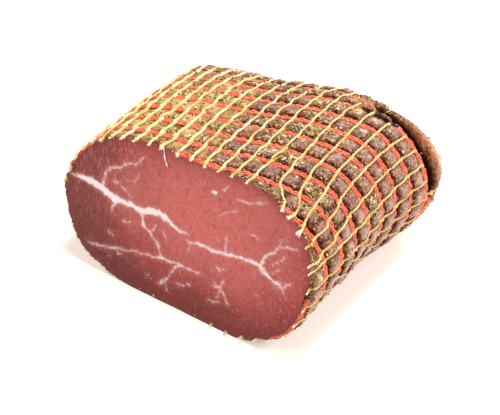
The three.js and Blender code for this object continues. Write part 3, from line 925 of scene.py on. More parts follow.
fibre_ends = node(tree, "ShaderNodeBump", {"Height": fleck_noise, "Strength": 0.25, "Distance": 0.25 * MM})
tree.links.new(fibre_ends.outputs["Normal"], shader.inputs["Normal"])
print("cut finish:", len(tree.nodes), "nodes")

# %% [markdown]
# The crust is dried meat rubbed with salt, pepper and herbs. At the upper left it is a flat tan skin; toward
# the right it turns plum brown, finely speckled with pale salt, and shines where it is stretched. The finish
# is laid in layers: skin, grainy meat, salt, pepper, a painted highlight on the crowns, rub, the bare fold,
# and painted shade in the grooves and the crease last.

# %% Finish of the crust
crust_finish, tree, shader = new_finish("spiced_crust")
place = node(tree, "ShaderNodeTexCoord").outputs["Object"]
kept_tone = node(tree, "ShaderNodeAttribute", attribute_name="tone").outputs["Fac"]
hollow = node(tree, "ShaderNodeAttribute", attribute_name="hollow").outputs["Fac"]
flap_skin = node(tree, "ShaderNodeAttribute", attribute_name="bare_flap").outputs["Fac"]
patch = node(tree, "ShaderNodeTexNoise", {
    "Vector": place, "Scale": per_mm(12), "Detail": 6.0, "Roughness": 0.75,
}).outputs["Fac"]
patch = node(tree, "ShaderNodeMath", {0: patch, 1: 2.0, 2: kept_tone}, operation="MULTIPLY_ADD").outputs[0]
tone = node(tree, "ShaderNodeMapRange", {"Value": patch, "From Min": 0.7, "From Max": 2.15}).outputs["Result"]
skin = node(tree, "ShaderNodeValToRGB", {"Fac": tone}, stops=[
    (0.0, colour("#efcd8e")), (1.0, colour("#5e2718")), (0.28, colour("#d8a25a")), (0.46, colour("#ac6a34")),
    (0.7, colour("#7f3c22")),
])
# the meat under the skin is grainy: small cells, each a little darker or paler, strongest on the plum side
cell = node(tree, "ShaderNodeTexVoronoi", {"Vector": place, "Scale": per_mm(0.95)})
cell_draw = node(tree, "ShaderNodeSeparateColor", {"Color": cell.outputs["Color"]})
cell_shade = node(tree, "ShaderNodeValToRGB", {"Fac": cell_draw.outputs["Red"]}, stops=[
    (0.0, colour("#34100a")), (1.0, colour("#f2d0bc")), (0.38, colour("#6e2c1c")), (0.72, colour("#9a503c")),
    (0.88, colour("#c88670")),
])
cell_share = node(tree, "ShaderNodeMapRange", {
    "Value": tone, "From Min": 0.2, "From Max": 0.8, "To Min": 0.14, "To Max": 0.6,
}).outputs["Result"]
celled = node(tree, "ShaderNodeMix", {
    0: cell_share, 6: skin.outputs["Color"], 7: cell_shade.outputs["Color"],
}, data_type="RGBA").outputs[2]
# fine salt grains
salt_noise = node(tree, "ShaderNodeTexNoise", {
    "Vector": place, "Scale": per_mm(1.6), "Detail": 4.0, "Roughness": 0.75,
}).outputs["Fac"]
salt = node(tree, "ShaderNodeMapRange", {
    "Value": salt_noise, "From Min": 0.54, "From Max": 0.7, "To Max": 0.7,
}).outputs["Result"]
salted = node(tree, "ShaderNodeMix", {0: salt, 6: celled, 7: colour("#dcb698")}, data_type="RGBA").outputs[2]
# ground pepper and small pits
pepper_noise = node(tree, "ShaderNodeTexNoise", {
    "Vector": place, "Scale": per_mm(2.6), "Detail": 5.0, "Roughness": 0.72,
}).outputs["Fac"]
pepper = node(tree, "ShaderNodeMapRange", {
    "Value": pepper_noise, "From Min": 0.46, "From Max": 0.37, "To Max": 0.85,
}).outputs["Result"]
peppered = node(tree, "ShaderNodeMix", {
    0: pepper, 6: salted, 7: colour("#33150a"),
}, data_type="RGBA").outputs[2]
# painted highlight: the crowns of the pillows are made paler in patches, as if lit
crown_highlight = node(tree, "ShaderNodeMapRange", {
    "Value": patch, "From Min": 1.75, "From Max": 2.25, "To Min": 0.05, "To Max": 0.85,
}).outputs["Result"]
crown_highlight = node(tree, "ShaderNodeMath", {
    0: crown_highlight, 1: node(tree, "ShaderNodeAttribute", attribute_name="crest").outputs["Fac"],
}, operation="MULTIPLY").outputs[0]
crown_lit = node(tree, "ShaderNodeMix", {
    0: crown_highlight, 6: peppered, 7: colour("#cf9d88"),
}, data_type="RGBA").outputs[2]
# the rub: each small cell is a flake of herb, pepper, garlic or salt in its own colour
flake = node(tree, "ShaderNodeTexVoronoi", {"Vector": place, "Scale": per_mm(1.5)})
flake_draw = node(tree, "ShaderNodeSeparateColor", {"Color": flake.outputs["Color"]})
flake_shade = node(tree, "ShaderNodeValToRGB", {"Fac": flake_draw.outputs["Red"]}, stops=[
    (0.0, colour("#2a1206")), (1.0, colour("#fbedc2")), (0.18, colour("#5a330e")), (0.4, colour("#926a25")),
    (0.6, colour("#bf9a41")), (0.8, colour("#e4c97a")),
])
rubbed_in = node(tree, "ShaderNodeMath", {
    0: node(tree, "ShaderNodeAttribute", attribute_name="rub").outputs["Fac"], 1: flake_draw.outputs["Green"],
}, operation="SUBTRACT").outputs[0]
rubbed_in = node(tree, "ShaderNodeMapRange", {
    "Value": rubbed_in, "From Min": -0.12, "From Max": 0.1, "To Max": 0.85,
}).outputs["Result"]
herby = node(tree, "ShaderNodeMix", {
    0: rubbed_in, 6: crown_lit, 7: flake_shade.outputs["Color"],
}, data_type="RGBA").outputs[2]
# the bare fold behind the net is a smooth orange-brown skin with darker wrinkles
wrinkle = node(tree, "ShaderNodeValToRGB", {"Fac": pepper_noise}, stops=[
    (0.36, colour("#7c3418")), (0.62, colour("#f0b585")), (0.48, colour("#c06c3a")),
])
bare = node(tree, "ShaderNodeMath", {0: flap_skin, 1: 0.9}, operation="MULTIPLY").outputs[0]
skinned = node(tree, "ShaderNodeMix", {
    0: bare, 6: herby, 7: wrinkle.outputs["Color"],
}, data_type="RGBA").outputs[2]
# painted shade: the grooves and the crease beside the fold are darkened as if in shadow
deep = node(tree, "ShaderNodeMath", {0: hollow, 1: 0.88}, operation="MULTIPLY", use_clamp=True).outputs[0]
groove_shaded = node(tree, "ShaderNodeMix", {
    0: deep, 6: skinned, 7: colour("#2c1006"),
}, data_type="RGBA").outputs[2]
tree.links.new(groove_shaded, shader.inputs["Base Color"])
gloss = node(tree, "ShaderNodeMapRange", {
    "Value": salt_noise, "From Min": 0.35, "From Max": 0.7, "To Min": 0.22, "To Max": 0.5,
})
tree.links.new(gloss.outputs["Result"], shader.inputs["Roughness"])
shader.inputs["IOR"].default_value = 1.45
# a thin film of dried juice and fat shines on the crowns; the grooves stay dull
film = node(tree, "ShaderNodeMapRange", {"Value": hollow, "From Max": 0.5, "To Min": 0.4, "To Max": 0.0})
tree.links.new(film.outputs["Result"], shader.inputs["Coat Weight"])
tree.links.new(film.outputs["Result"], shader.inputs["Specular IOR Level"])
shader.inputs["Coat Roughness"].default_value = 0.2
coarse = node(tree, "ShaderNodeBump", {"Height": pepper_noise, "Strength": 1.0, "Distance": 1.3 * MM})
fine = node(tree, "ShaderNodeBump", {
    "Height": salt_noise, "Strength": 0.9, "Distance": 0.6 * MM, "Normal": coarse.outputs["Normal"],
})
tree.links.new(fine.outputs["Normal"], shader.inputs["Normal"])
beef.data.materials.append(crust_finish)
beef.data.materials.append(cut_finish)
beef.data.polygons.foreach_set("material_index", np.array(cut_faces, dtype=np.int32))
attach(beef, "root")
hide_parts("meat")
print("crust finish:", len(tree.nodes), "nodes;", sum(cut_faces), "faces are cut")

# %% [markdown]
# A cord of the net is a thin strand laid along a line of points, with its own width and thickness at each. A
# long grid is rolled round that line. Rings are two strands side by side, as flat elastic is; yarns are two
# plies twisted round each other.

# %% Laying a strand
def laid_strand(name, line, outward, half_width, half_height, sides, closed):
    """A strand round the line of points, with its half width and half height given at each point."""
    ahead = np.roll(line, -1, axis=0) - np.roll(line, 1, axis=0)
    if not closed:
        ahead[0], ahead[-1] = line[1] - line[0], line[-1] - line[-2]
    ahead /= np.linalg.norm(ahead, axis=1, keepdims=True)
    sideways = np.cross(ahead, outward)
    sideways /= np.linalg.norm(sideways, axis=1, keepdims=True)
    upward = np.cross(sideways, ahead)
    count = len(line)
    steps = count if closed else count - 1

    def place(u, v):
        """The grid's corner u, v on the strand: u runs along it and v round it."""
        at = np.round(u * steps).astype(int) % count
        angle = 2 * math.pi * v
        wide, high = half_width[at] * np.cos(angle), half_height[at] * np.sin(angle)
        return line[at] + wide[:, None] * sideways[at] + high[:, None] * upward[at]

    strand = grid_shaped(name, steps, sides, place)
    # 0 on top of the strand, 1 underneath, where the finishes paint shade
    write_attribute(strand, "under", 0.5 - 0.5 * np.sin(2 * math.pi * grid_places(steps, sides)[1]))
    bpy.ops.object.mode_set(mode="EDIT")
    bpy.ops.mesh.select_all(action="SELECT")
    bpy.ops.mesh.remove_doubles(threshold=0.004 * MM)
    if not closed:
        bpy.ops.mesh.fill_holes(sides=0)
    bpy.ops.mesh.select_all(action="SELECT")
    bpy.ops.mesh.normals_make_consistent(inside=False)
    bpy.ops.object.mode_set(mode="OBJECT")
    bpy.ops.object.shade_smooth()
    return strand


def joined(name, parts):
    """All the parts as one piece."""
    bpy.ops.object.select_all(action="DESELECT")
    for part in parts:
        part.select_set(True)
    bpy.context.view_layer.objects.active = parts[0]
    bpy.ops.object.join()
    parts[0].name = name
    return parts[0]


def laid_copies(name, model, at, along, outward, size):
    """Copies of the model in one mesh: at is each copy's place, along its X and outward its Z."""
    shape = vertex_points(model) / MM
    faces = np.array([list(polygon.vertices) for polygon in model.data.polygons])
    outward = outward / np.linalg.norm(outward, axis=1, keepdims=True)
    along = along - (along * outward).sum(axis=1, keepdims=True) * outward
    along /= np.linalg.norm(along, axis=1, keepdims=True)
    axes = np.stack((along, np.cross(outward, along), outward), axis=1)
    points = at[:, None, :] + size[:, None, None] * np.einsum("va,cax->cvx", shape, axes)
    numbers = faces[None] + len(shape) * np.arange(len(at))[:, None, None]
    points = points.reshape(-1, 3)
    points[:, 2] = np.maximum(points[:, 2], REST_HEIGHT + 0.02)
    mesh = bpy.data.meshes.new(name)
    mesh.from_pydata(to_part(points), [], numbers.reshape(-1, faces.shape[1]))
    piece = bpy.data.objects.new(name, mesh)
    bpy.context.collection.objects.link(piece)
    bpy.data.objects.remove(model)
    return piece


print("strand and copy helpers ready")

# %% [markdown]
# The elastic rings are rubber wrapped in red-orange thread. Each runs round the body in its groove, tucked
# under every yarn it meets and swollen between them. Near the knife the net went slack, so a ring that the
# cut only grazed has slid back to lie along the edge. At the far end the last rings go under the crust.

# %% Elastic rings
RING_STEP = 0.85
STRAND_HALF_WIDTH, STRAND_HALF_HEIGHT = 1.0, 0.95
STRAND_SIDES = 6
STRAND_GAP = 0.85
OVER_GROOVE_FLAT, OVER_GROOVE_FULL = 1.05, 1.45
RISE_BETWEEN_YARNS = 0.35
SLID_BACK, SLID_BACK_UNDERNEATH = 1.5, 4.0
CUT_AWAY = -2.2
RING_WAVE, RING_SWAY = 0.3, 0.4
PLAIT_PITCH, PLAIT_SWING, PLAIT_BEAD, PLAIT_LIFT = 4.4, 0.05, 0.1, 0.12
SHORTEST_RUN = 6
END_DIP, END_DIP_LENGTH = 2.5, 4
# the last rings vanish in the crease beside the fold: ring, and the string places that it leaves out
HIDDEN_IN_FOLD = {7: (10.7, 12.1), 8: (10.7, 17.2), 9: (7.5, 18.5)}


def ring_over_groove(points):
    """Height of a ring's middle over the bottom of its groove."""
    return OVER_GROOVE_FLAT + (OVER_GROOVE_FULL - OVER_GROOVE_FLAT) * fullness(points)


def ring_course(k):
    """String places, lengths and the points kept, all round ring k."""
    count = int(GIRTH / RING_STEP)
    j = np.arange(count) * STRINGS / count
    wave = RING_WAVE * (j - np.round(j)) * -2 + RING_SWAY * np.sin(3 * TURN * j + 2.1 * k)
    y = ring_place(j, k) + wave
    gap = behind_cut(body_point(j, y))
    underneath = smooth_step(23, 26, j) * smooth_step(39, 36, j)
    slid = SLID_BACK + (SLID_BACK_UNDERNEATH - SLID_BACK) * underneath
    y = y + np.where(gap < slid, slid - gap, 0)
    fold_start, fold_end = HIDDEN_IN_FOLD.get(k, (0, 0))
    return j, y, (gap > CUT_AWAY) & ~((j > fold_start) & (j < fold_end))


def runs_of(kept):
    """The stretches of a closed course that are kept, each as a list of its numbers in order."""
    if kept.all():
        return [np.arange(len(kept))]
    start = int(np.nonzero(~kept)[0][0])
    order = (np.arange(len(kept)) + start) % len(kept)
    breaks = np.split(order, np.nonzero(np.diff(kept[order].astype(int)))[0] + 1)
    return [run for run in breaks if kept[run[0]] and len(run) > SHORTEST_RUN]


strands = []
for k in range(FIRST_RING, LAST_RING + 1):
    j, y, kept = ring_course(k)
    for run in runs_of(kept):
        closed = len(run) == len(j)
        at_j, at_y = j[run], y[run]
        between = np.sin(math.pi * (at_j - np.floor(at_j)))
        outward = body_outward(at_j, at_y)
        under_it = body_point(at_j, at_y)
        lift = ring_groove(under_it) + ring_over_groove(under_it) + RISE_BETWEEN_YARNS * between
        if not closed and k >= GATHER_RING:
            # the ends of a broken run dip into the crust
            from_end = np.minimum(np.arange(len(run)), np.arange(len(run))[::-1]) * RING_STEP
            lift = lift - END_DIP * (1 - smooth_step(0, END_DIP_LENGTH, from_end))
        centre = under_it + lift[:, None] * outward
        ahead = np.gradient(centre, axis=0)
        sideways = np.cross(ahead, outward)
        sideways /= np.linalg.norm(sideways, axis=1, keepdims=True)
        plait = 2 * math.pi * np.arange(len(run)) * RING_STEP / PLAIT_PITCH
        for hand in (-1, 1):
            bead = hand * np.sin(plait)
            apart = hand * STRAND_GAP * (0.8 + 0.2 * between) + PLAIT_SWING * np.sin(plait)
            line = centre + apart[:, None] * sideways + (PLAIT_LIFT * bead)[:, None] * outward
            line[:, 2] = np.maximum(line[:, 2], REST_HEIGHT + 1.15 * STRAND_HALF_HEIGHT + 0.1)
            swollen = between**0.6
            wide = STRAND_HALF_WIDTH * (0.74 + 0.28 * swollen) * (1 + PLAIT_BEAD * bead)
            high = STRAND_HALF_HEIGHT * (0.75 + 0.3 * swollen) * (1 + PLAIT_BEAD * bead)
            strands.append(laid_strand("strand", line, outward, wide, high, STRAND_SIDES, closed))
rings = joined("elastic_rings", strands)
print(len(strands), "strands,", len(rings.data.polygons), "faces")

# %% [markdown]
# The lengthwise yarns are cream cotton, chain-stitched to the rings. On the slack upper left each jogs
# sideways where it passes over a ring; on the tight right side it runs straight. Two thin plies twist round
# each other. Three yarns sprang up when they were cut, and nine end in the crease beside the fold.

# %% Cream yarns
YARN_STEP = 0.85
PLY_RADIUS = 0.47
PLY_OFFSET = 0.4
PLY_PITCH = 3.4
YARN_LIFT = 0.35
YARN_OVER_RING = 1.15
JOG_SLACK, JOG_TIGHT = 0.13, 0.02
YARN_TAIL = 0.5
YARN_OVERHANG = 0.9
PRESSED_UNDER = (24, 38)
# yarns that sprang aside when they were cut: ring numbers back from the knife, and the string places there
LOOSE_COURSES = {
    10: ((-0.2, 0.1, 0.4, 0.6, 1.1, 2.5), (11.4, 11.4, 11.2, 10.8, 10.25, 10.0)),
    11: ((-0.2, 0.2, 0.4, 0.6, 1.0, 2.5), (12.0, 12.05, 12.0, 11.8, 11.45, 11.0)),
    12: ((-0.2, 0.2, 0.4, 0.9, 1.6, 3.0), (12.8, 12.6, 12.45, 12.4, 12.3, 12.0)),
    13: ((-0.4, 0.8, 2.5), (13.6, 13.4, 13.0)),
    14: ((-0.3, 0.2, 2.0), (14.6, 14.4, 14.0)),
}
LOOSE_YARNS = (10, 11, 12)
LOOSE_LIFT, LOOSE_LENGTH, LOOSE_FLUFF = 1.0, 9.0, 1.6
KNOT_SINK = 0.55
PLY_SIDES = 5
THICK_YARN, THINNED = 1.7, 0.78
FOLD_DIP, FOLD_DIP_LENGTH = 2.4, 2.6
# yarns that end in the crease beside the fold, and the ring number where each goes under
ENDS_IN_FOLD = {9: 8.9, 10: 7.8, 11: 7.5, 12: 7.2, 13: 7.2, 14: 7.4, 15: 7.8, 16: 7.8, 17: 8.8}


def yarn_course(number):
    """String place, length and looseness of yarn number, from the cut to just past the last ring."""
    course_k, course_j = LOOSE_COURSES.get(number, ((0, 1), (number, number)))
    under = PRESSED_UNDER[0] < number < PRESSED_UNDER[1]
    first = cut_start(np.full(4, float(course_j[0])))[0] + (0.3 if under else -YARN_OVERHANG)
    last = float(ring_place(np.array(float(number)), ENDS_IN_FOLD.get(number, LAST_RING + YARN_TAIL)))
    y = np.arange(first, last, YARN_STEP)
    j = np.interp(ring_number(number, y), course_k, course_j)
    loose = np.clip(1 - (y - first) / LOOSE_LENGTH, 0, 1) * (number in LOOSE_YARNS)
    k = ring_number(j, y)
    slack = 1 - fullness(body_point(j, y))
    draw = np.random.default_rng(900 + number)
    size = draw.uniform(0.4, 1.6, LAST_RING - FIRST_RING + 4)[(np.floor(k) - FIRST_RING).astype(int)]
    part = k - np.floor(k)
    jog = np.where(part < 0.2, 0.5 - part / 0.2, (part - 0.2) / 0.8 - 0.5)
    jog = jog * 2 * (JOG_TIGHT + (JOG_SLACK - JOG_TIGHT) * slack) * size * (1 - 0.6 * smooth_step(4, 7, k))
    drift = 0.05 * np.sin(0.9 * k + draw.uniform(0, 6.28))
    return j + jog + drift, y, loose


plies = []
knot_places = []
cut_ends = []
for number in range(STRINGS):
    j, y, loose = yarn_course(number)
    k = ring_number(j, y)
    outward = body_outward(j, y)
    from_ring = (k - np.round(k)) * RING_PITCH
    over = bump(from_ring, 0, 1.9)
    under_it = body_point(j, y)
    over_ring = ring_groove(under_it) + ring_over_groove(under_it) + YARN_OVER_RING
    height = (1 - over) * (crust_height(j, y) + YARN_LIFT) + over * over_ring + LOOSE_LIFT * loose
    height = height + np.maximum(crust_lumps(j, y), 0)
    if number in ENDS_IN_FOLD:
        height = height - FOLD_DIP * smooth_step(y[-1] - FOLD_DIP_LENGTH, y[-1], y)
    centre = under_it + height[:, None] * outward
    centre[:, 2] = np.maximum(centre[:, 2], REST_HEIGHT + 1.1)
    if not PRESSED_UNDER[0] < number < PRESSED_UNDER[1]:
        fluff = LOOSE_FLUFF if loose.any() else 1.0
        cut_ends.append((centre[0], centre[0] - centre[2], outward[0], fluff))
    for ring in range(math.ceil(k[0] + 0.15), min(LAST_RING, math.floor(k[-1] + 0.1)) + 1):
        at = int(np.argmin(np.abs(k - ring)))
        along = centre[at] - centre[max(at - 3, 0)]
        knot_places.append((centre[at] - KNOT_SINK * outward[at], along, outward[at]))
    # the tight yarns of the right side are thinner than the slack ones at the upper left
    thickness = THICK_YARN - THINNED * fullness(under_it)
    ahead = np.gradient(centre, axis=0)
    sideways = np.cross(ahead, outward)
    sideways /= np.linalg.norm(sideways, axis=1, keepdims=True)
    angle = 2 * math.pi * y / PLY_PITCH + number
    for half in (0, math.pi):
        offset = np.cos(angle + half)[:, None] * sideways + 0.75 * np.sin(angle + half)[:, None] * outward
        line = centre + (PLY_OFFSET * thickness)[:, None] * offset
        radius = PLY_RADIUS * thickness * (1 + 0.3 * over)
        line[:, 2] = np.maximum(line[:, 2], REST_HEIGHT + radius + 0.1)
        plies.append(laid_strand("ply", line, outward, radius, radius, PLY_SIDES, False))
yarns = joined("cream_yarns", plies)
print(STRINGS, "yarns,", len(yarns.data.polygons), "faces")

# %% [markdown]
# Each yarn is chained round every ring it crosses, so a loop of yarn clasps the ring there. One loop is a
# torus, pressed flat, copied to all the crossings and turned a little askew on each.

# %% Loops round the rings
KNOT_REACH, KNOT_YARN, KNOT_FLATNESS = 1.5, 0.58, 0.62
KNOT_ASKEW = 0.45

bpy.ops.mesh.primitive_torus_add(
    major_segments=10, minor_segments=4, major_radius=KNOT_REACH * MM, minor_radius=KNOT_YARN * MM,
    rotation=(math.pi / 2, 0, 0),
)
loop = bpy.context.object
bpy.ops.object.transform_apply(location=False, rotation=True, scale=False)
bpy.ops.object.mode_set(mode="EDIT")
bpy.ops.mesh.select_all(action="SELECT")
bpy.ops.transform.resize(value=(1, 1.15, KNOT_FLATNESS))
bpy.ops.object.mode_set(mode="OBJECT")
bpy.ops.object.shade_smooth()

draw = np.random.default_rng(77)
knot_at, knot_along, knot_out = (np.array(part) for part in zip(*knot_places))
knot_along /= np.linalg.norm(knot_along, axis=1, keepdims=True)
askew = KNOT_ASKEW * draw.uniform(0.2, 1, len(knot_at))[:, None] * np.cross(knot_out, knot_along)
knot_size = draw.uniform(0.85, 1.12, len(knot_at))
knots = laid_copies("yarn_loops", loop, knot_at, knot_along - askew, knot_out, knot_size)
knots.data.polygons.foreach_set("use_smooth", np.ones(len(knots.data.polygons), dtype=bool))
print(len(knot_at), "loops,", len(knots.data.polygons), "faces")

# %% [markdown]
# Where the knife went through a yarn its end has sprung open. One tuft of a few thin tapered fibres is made
# of cones, joined, and copied to every end, turned and sized by chance.

# %% Frayed ends
FIBRE_LENGTH, FIBRE_WIDTH = 2.2, 0.42
FIBRE_LEANS = [
    (0.0, 0.0), (0.28, 0.12), (-0.25, 0.18), (0.08, 0.32), (-0.1, -0.25), (0.45, -0.15), (-0.4, 0.0),
]

fibres = []
for lean_x, lean_y in FIBRE_LEANS:
    way = Vector((1, lean_x, lean_y)).normalized()
    bpy.ops.mesh.primitive_cone_add(
        vertices=4, radius1=FIBRE_WIDTH * MM, radius2=0.12 * MM, depth=FIBRE_LENGTH * MM,
        location=way * 0.45 * FIBRE_LENGTH * MM, rotation=way.to_track_quat("Z", "Y").to_euler(),
    )
    bpy.ops.object.transform_apply(location=True, rotation=True, scale=True)
    fibres.append(bpy.context.object)
tuft = joined("tuft", fibres)
bpy.ops.object.mode_set(mode="EDIT")
bpy.ops.mesh.select_all(action="SELECT")
bpy.ops.mesh.quads_convert_to_tris()
bpy.ops.object.mode_set(mode="OBJECT")

end_at, end_along, end_out, end_fluff = (np.array(part) for part in zip(*cut_ends))
end_along = end_along + draw.normal(0, 0.35, end_along.shape)
end_size = end_fluff * draw.uniform(0.7, 1.15, len(end_at))
tufts = laid_copies("frayed_ends", tuft, end_at, end_along, end_out, end_size)
print(len(end_at), "frayed ends,", len(tufts.data.polygons), "faces")

# %% [markdown]
# A snippet of yarn hangs over the edge onto the cut. It is one thin strand that swells and thins as torn
# cotton does, laid a third of a millimetre in front of the cut.

# %% The snippet on the cut
# places across and up on the cut, and the half width there
SNIPPET = [
    (-23.8, 88.0, 0.45), (-23.5, 86.7, 0.5), (-22.9, 84.4, 0.25), (-22.5, 82.1, 0.6), (-21.6, 80.0, 0.3),
    (-20.9, 78.6, 0.65), (-20.1, 77.4, 0.2),
]
SNIPPET_POINTS = 37
SNIPPET_CLEARANCE, SNIPPET_FLATNESS = 0.35, 0.6

corner_numbers = np.arange(len(SNIPPET))
steps = np.linspace(0, len(SNIPPET) - 1, SNIPPET_POINTS)
across, up, thick = (np.interp(steps, corner_numbers, values) for values in zip(*SNIPPET))
across, up = across + BODY_ORIGIN[0], up + BODY_ORIGIN[2]
on_plane = np.column_stack((across, CUT_LEAN * up - CUT_SKEW * across, up))
snippet_line = on_plane - SNIPPET_CLEARANCE * CUT_NORMAL
facing = np.tile(-CUT_NORMAL, (SNIPPET_POINTS, 1))
flat = SNIPPET_FLATNESS * thick
snippet = laid_strand("yarn_snippet", snippet_line, facing, thick, flat, STRAND_SIDES, False)
print("snippet,", len(snippet.data.polygons), "faces")

# %% [markdown]
# Dyed polyester thread over rubber has a low, broken shine; undyed cotton is dull and a little fuzzy, golden
# where the spice has rubbed off on it. Both take their small colour changes from noise of thread size, and
# get painted shade underneath, where the strand turns toward the groove.

# %% Finishes of the net
thread_finish, tree, shader = new_finish("red_orange_elastic")
place = node(tree, "ShaderNodeTexCoord").outputs["Object"]
thread = node(tree, "ShaderNodeTexNoise", {
    "Vector": place, "Scale": per_mm(1.2), "Detail": 2.0,
}).outputs["Fac"]
dyed_and_shaded = node(tree, "ShaderNodeValToRGB", {"Fac": thread}, stops=[
    (0.3, colour("#c43c1c")), (0.72, colour("#f79a72")), (0.5, colour("#e9582f")),
])
# spice clings to it in places, most at the left where it lies bare on the crust
spiced = node(tree, "ShaderNodeTexNoise", {
    "Vector": place, "Scale": per_mm(3.5), "Detail": 4.0, "Roughness": 0.7,
}).outputs["Fac"]
spiced = node(tree, "ShaderNodeMapRange", {
    "Value": spiced, "From Min": 0.55, "From Max": 0.68, "To Max": 0.55,
}).outputs["Result"]
dyed_and_shaded = node(tree, "ShaderNodeMix", {
    0: spiced, 6: dyed_and_shaded.outputs["Color"], 7: colour("#a0562c"),
}, data_type="RGBA")
# painted shade: the threads are darkened where they turn under, toward the groove and toward each other
underside_shade = node(tree, "ShaderNodeMapRange", {
    "Value": node(tree, "ShaderNodeAttribute", attribute_name="under").outputs["Fac"],
    "From Min": 0.33, "From Max": 0.75, "To Max": 0.7,
}).outputs["Result"]
dyed_and_shaded = node(tree, "ShaderNodeMix", {
    0: underside_shade, 6: dyed_and_shaded.outputs[2], 7: colour("#94260f"),
}, data_type="RGBA")
tree.links.new(dyed_and_shaded.outputs[2], shader.inputs["Base Color"])
shader.inputs["Roughness"].default_value = 0.62
shader.inputs["Sheen Weight"].default_value = 0.15
wraps = node(tree, "ShaderNodeBump", {"Height": thread, "Strength": 0.5, "Distance": 0.3 * MM})
tree.links.new(wraps.outputs["Normal"], shader.inputs["Normal"])

cotton_finish, tree, shader = new_finish("cream_cotton")
place = node(tree, "ShaderNodeTexCoord").outputs["Object"]
rubbed = node(tree, "ShaderNodeTexNoise", {"Vector": place, "Scale": per_mm(9), "Detail": 4.0}).outputs["Fac"]
cotton = node(tree, "ShaderNodeValToRGB", {"Fac": rubbed}, stops=[
    (0.3, colour("#dca94e")), (0.72, colour("#fbeebe")), (0.48, colour("#f3d78f")),
])
# at the right and the far end the spice has dyed the yarns golden
from_left = node(tree, "ShaderNodeSeparateXYZ", {"Vector": place}).outputs["X"]
golden = node(tree, "ShaderNodeMapRange", {
    "Value": from_left, "From Min": 10 * MM, "From Max": 80 * MM, "To Max": 0.5,
}).outputs["Result"]
cotton = node(tree, "ShaderNodeMix", {
    0: golden, 6: cotton.outputs["Color"], 7: colour("#dd9f44"),
}, data_type="RGBA")
# painted shade on the plies' undersides, as on the rings
underside_shade = node(tree, "ShaderNodeMapRange", {
    "Value": node(tree, "ShaderNodeAttribute", attribute_name="under").outputs["Fac"],
    "From Min": 0.4, "From Max": 0.8, "To Max": 0.7,
}).outputs["Result"]
cotton = node(tree, "ShaderNodeMix", {
    0: underside_shade, 6: cotton.outputs[2], 7: colour("#a8743a"),
}, data_type="RGBA")
tree.links.new(cotton.outputs[2], shader.inputs["Base Color"])
shader.inputs["Roughness"].default_value = 0.85
shader.inputs["Sheen Weight"].default_value = 0.3
fuzz = node(tree, "ShaderNodeTexNoise", {"Vector": place, "Scale": per_mm(0.6), "Detail": 2.0}).outputs["Fac"]
fuzzy = node(tree, "ShaderNodeBump", {"Height": fuzz, "Strength": 0.4, "Distance": 0.15 * MM})
tree.links.new(fuzzy.outputs["Normal"], shader.inputs["Normal"])

torn_finish, tree, shader = new_finish("torn_cotton")
place = node(tree, "ShaderNodeTexCoord").outputs["Object"]
clean = node(tree, "ShaderNodeTexNoise", {"Vector": place, "Scale": per_mm(2), "Detail": 2.0}).outputs["Fac"]
bleached = node(tree, "ShaderNodeValToRGB", {"Fac": clean}, stops=[
    (0.35, colour("#f0dfb8")), (0.65, colour("#fbf6ea")),
])
tree.links.new(bleached.outputs["Color"], shader.inputs["Base Color"])
shader.inputs["Roughness"].default_value = 0.9
shader.inputs["Sheen Weight"].default_value = 0.3

net_finishes = [
    (yarns, cotton_finish), (knots, cotton_finish), (tufts, torn_finish), (snippet, torn_finish),
    (rings, thread_finish),
]
for cord, finish in net_finishes:
    cord.data.materials.clear()
    cord.data.materials.append(finish)
    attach(cord, "root")
    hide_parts("net")
print("net finished")

# %% [markdown]
# The rub is what makes the crust look rough: flakes of dried herb, cracked pepper and pale grains of salt and
# garlic. Each kind is one small faceted grain, strewn in thousands where the rub lies thick: over the top and
# the left, in some patches, and along the knife's edge, where the crust has crumbled.

# %% Strewing grains
# how far above the table the crust has to lie for a grain to stay on it
GRAIN_CLEARANCE = 2.7
TRIES_PER_GRAIN = 12


def strewn_places(draw, count, at_edge):
    """String places and lengths of grains that fell where the rub is thick, or along the knife's edge."""
    tries = count * TRIES_PER_GRAIN
    j = draw.uniform(0, STRINGS, tries)
    first = cut_start(j)
    y = first + 0.3 + draw.uniform(0, 1, tries) * (END_Y - 6 - first)
    if at_edge:
        y = first + 0.2 + np.abs(draw.normal(0, 1.3, tries))
    kept = (draw.uniform(0, 1, tries) < 0.04 + rub_thickness(j, y)) | at_edge
    kept &= on_crust(j, y)[:, 2] > REST_HEIGHT + GRAIN_CLEARANCE
    numbers = np.nonzero(kept)[0][:count]
    return j[numbers], y[numbers]


def strewn(name, model, finish, seed, count, edge_count, sizes, lift):
    """The model strewn over the crust at random turns and sizes, with its finish."""
    draw = np.random.default_rng(seed)
    inner, edge = strewn_places(draw, count, False), strewn_places(draw, edge_count, True)
    j, y = np.concatenate((inner[0], edge[0])), np.concatenate((inner[1], edge[1]))
    outward = body_outward(j, y)
    turn = draw.normal(0, 1, outward.shape)
    tilted = outward + draw.normal(0, 0.35, outward.shape)
    size = draw.uniform(*sizes, len(j))
    piece = laid_copies(name, model, rough_crust(j, y, lift), turn, tilted, size)
    piece.data.materials.append(finish)
    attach(piece, "root")
    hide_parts("meat")
    print(name, len(j), "grains,", len(piece.data.polygons), "faces")
    return piece


print("ready to strew")

# %% [markdown]
# A grain starts as the plainest ball of triangles, is stretched to its size and pinched at both ends, and
# curls up a little. A herb flake comes out thin and pointed, a crumb of salt almost round. Each kind's finish
# changes colour from grain to grain. Shreds of crust lie only along the knife's edge.

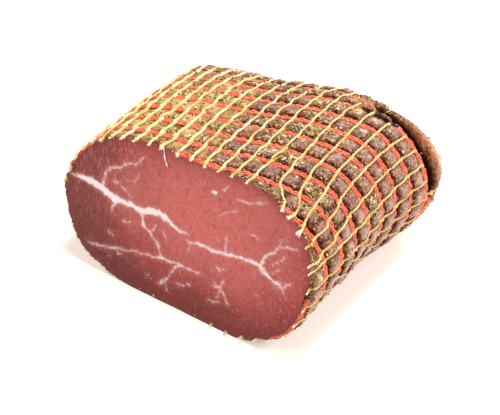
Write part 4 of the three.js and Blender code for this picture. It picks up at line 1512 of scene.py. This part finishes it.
# %% One grain of each kind
def grain(name, size, pinch):
    """A faceted grain of the given size in millimetres, its ends pinched by the given share."""
    bpy.ops.mesh.primitive_ico_sphere_add(subdivisions=1, radius=0.5 * MM)
    made = bpy.context.object
    made.name = name
    bpy.ops.object.mode_set(mode="EDIT")
    bpy.ops.mesh.select_all(action="SELECT")
    bpy.ops.transform.resize(value=size)
    work = bmesh.from_edit_mesh(made.data)
    for vertex in work.verts:
        narrow = 1 - pinch * min(1, abs(vertex.co.x) / (0.5 * size[0] * MM))
        vertex.co.y *= narrow
        vertex.co.z += 0.12 * size[0] * MM * (vertex.co.x / (0.5 * size[0] * MM)) ** 2
    bmesh.update_edit_mesh(made.data)
    bpy.ops.object.mode_set(mode="OBJECT")
    return made


def grain_finish(name, shades, grain_mm, roughness):
    """A dull finish whose colour changes from grain to grain through the given hex colours."""
    finish, tree, shader = new_finish(name)
    place = node(tree, "ShaderNodeTexCoord").outputs["Object"]
    change = node(tree, "ShaderNodeTexNoise", {"Vector": place, "Scale": per_mm(grain_mm), "Detail": 1.0})
    stops = [(0.3, colour(shades[0])), (0.7, colour(shades[-1]))]
    steps = len(shades) - 1
    stops += [(0.3 + 0.4 * number / steps, colour(shades[number])) for number in range(1, steps)]
    ramp = node(tree, "ShaderNodeValToRGB", {"Fac": change.outputs["Fac"]}, stops=stops)
    tree.links.new(ramp.outputs["Color"], shader.inputs["Base Color"])
    shader.inputs["Roughness"].default_value = roughness
    return finish


herb_green = grain_finish("dried_herb", ["#4a3210", "#8a7230", "#c0a652", "#e2ca7a", "#9a5222"], 2.2, 0.8)
strewn("herb_flakes", grain("leaf", (2.4, 1.25, 0.3), 0.6), herb_green, 31, 1700, 300, (0.55, 1.2), 0.2)
pepper_black = grain_finish("cracked_pepper", ["#1d120c", "#3b2216", "#5f3821"], 1.6, 0.5)
corn = grain("peppercorn", (1.3, 1.0, 0.75), 0.3)
strewn("pepper_crumbs", corn, pepper_black, 32, 2500, 420, (0.45, 1.1), 0.1)
salt_tan = grain_finish("salt_and_garlic", ["#a97f48", "#cdb083", "#ecdcb6"], 1.8, 0.6)
strewn("pale_crumbs", grain("crumb", (1.2, 0.9, 0.6), 0.2), salt_tan, 33, 2500, 420, (0.4, 1.05), 0.1)
crust_brown = grain_finish("crust_shreds", ["#5a2c14", "#a5602f", "#d19a58"], 2.5, 0.6)
strewn("rim_shreds", grain("shred", (2.0, 0.8, 0.6), 0.5), crust_brown, 34, 0, 800, (0.5, 1.2), 0.5)
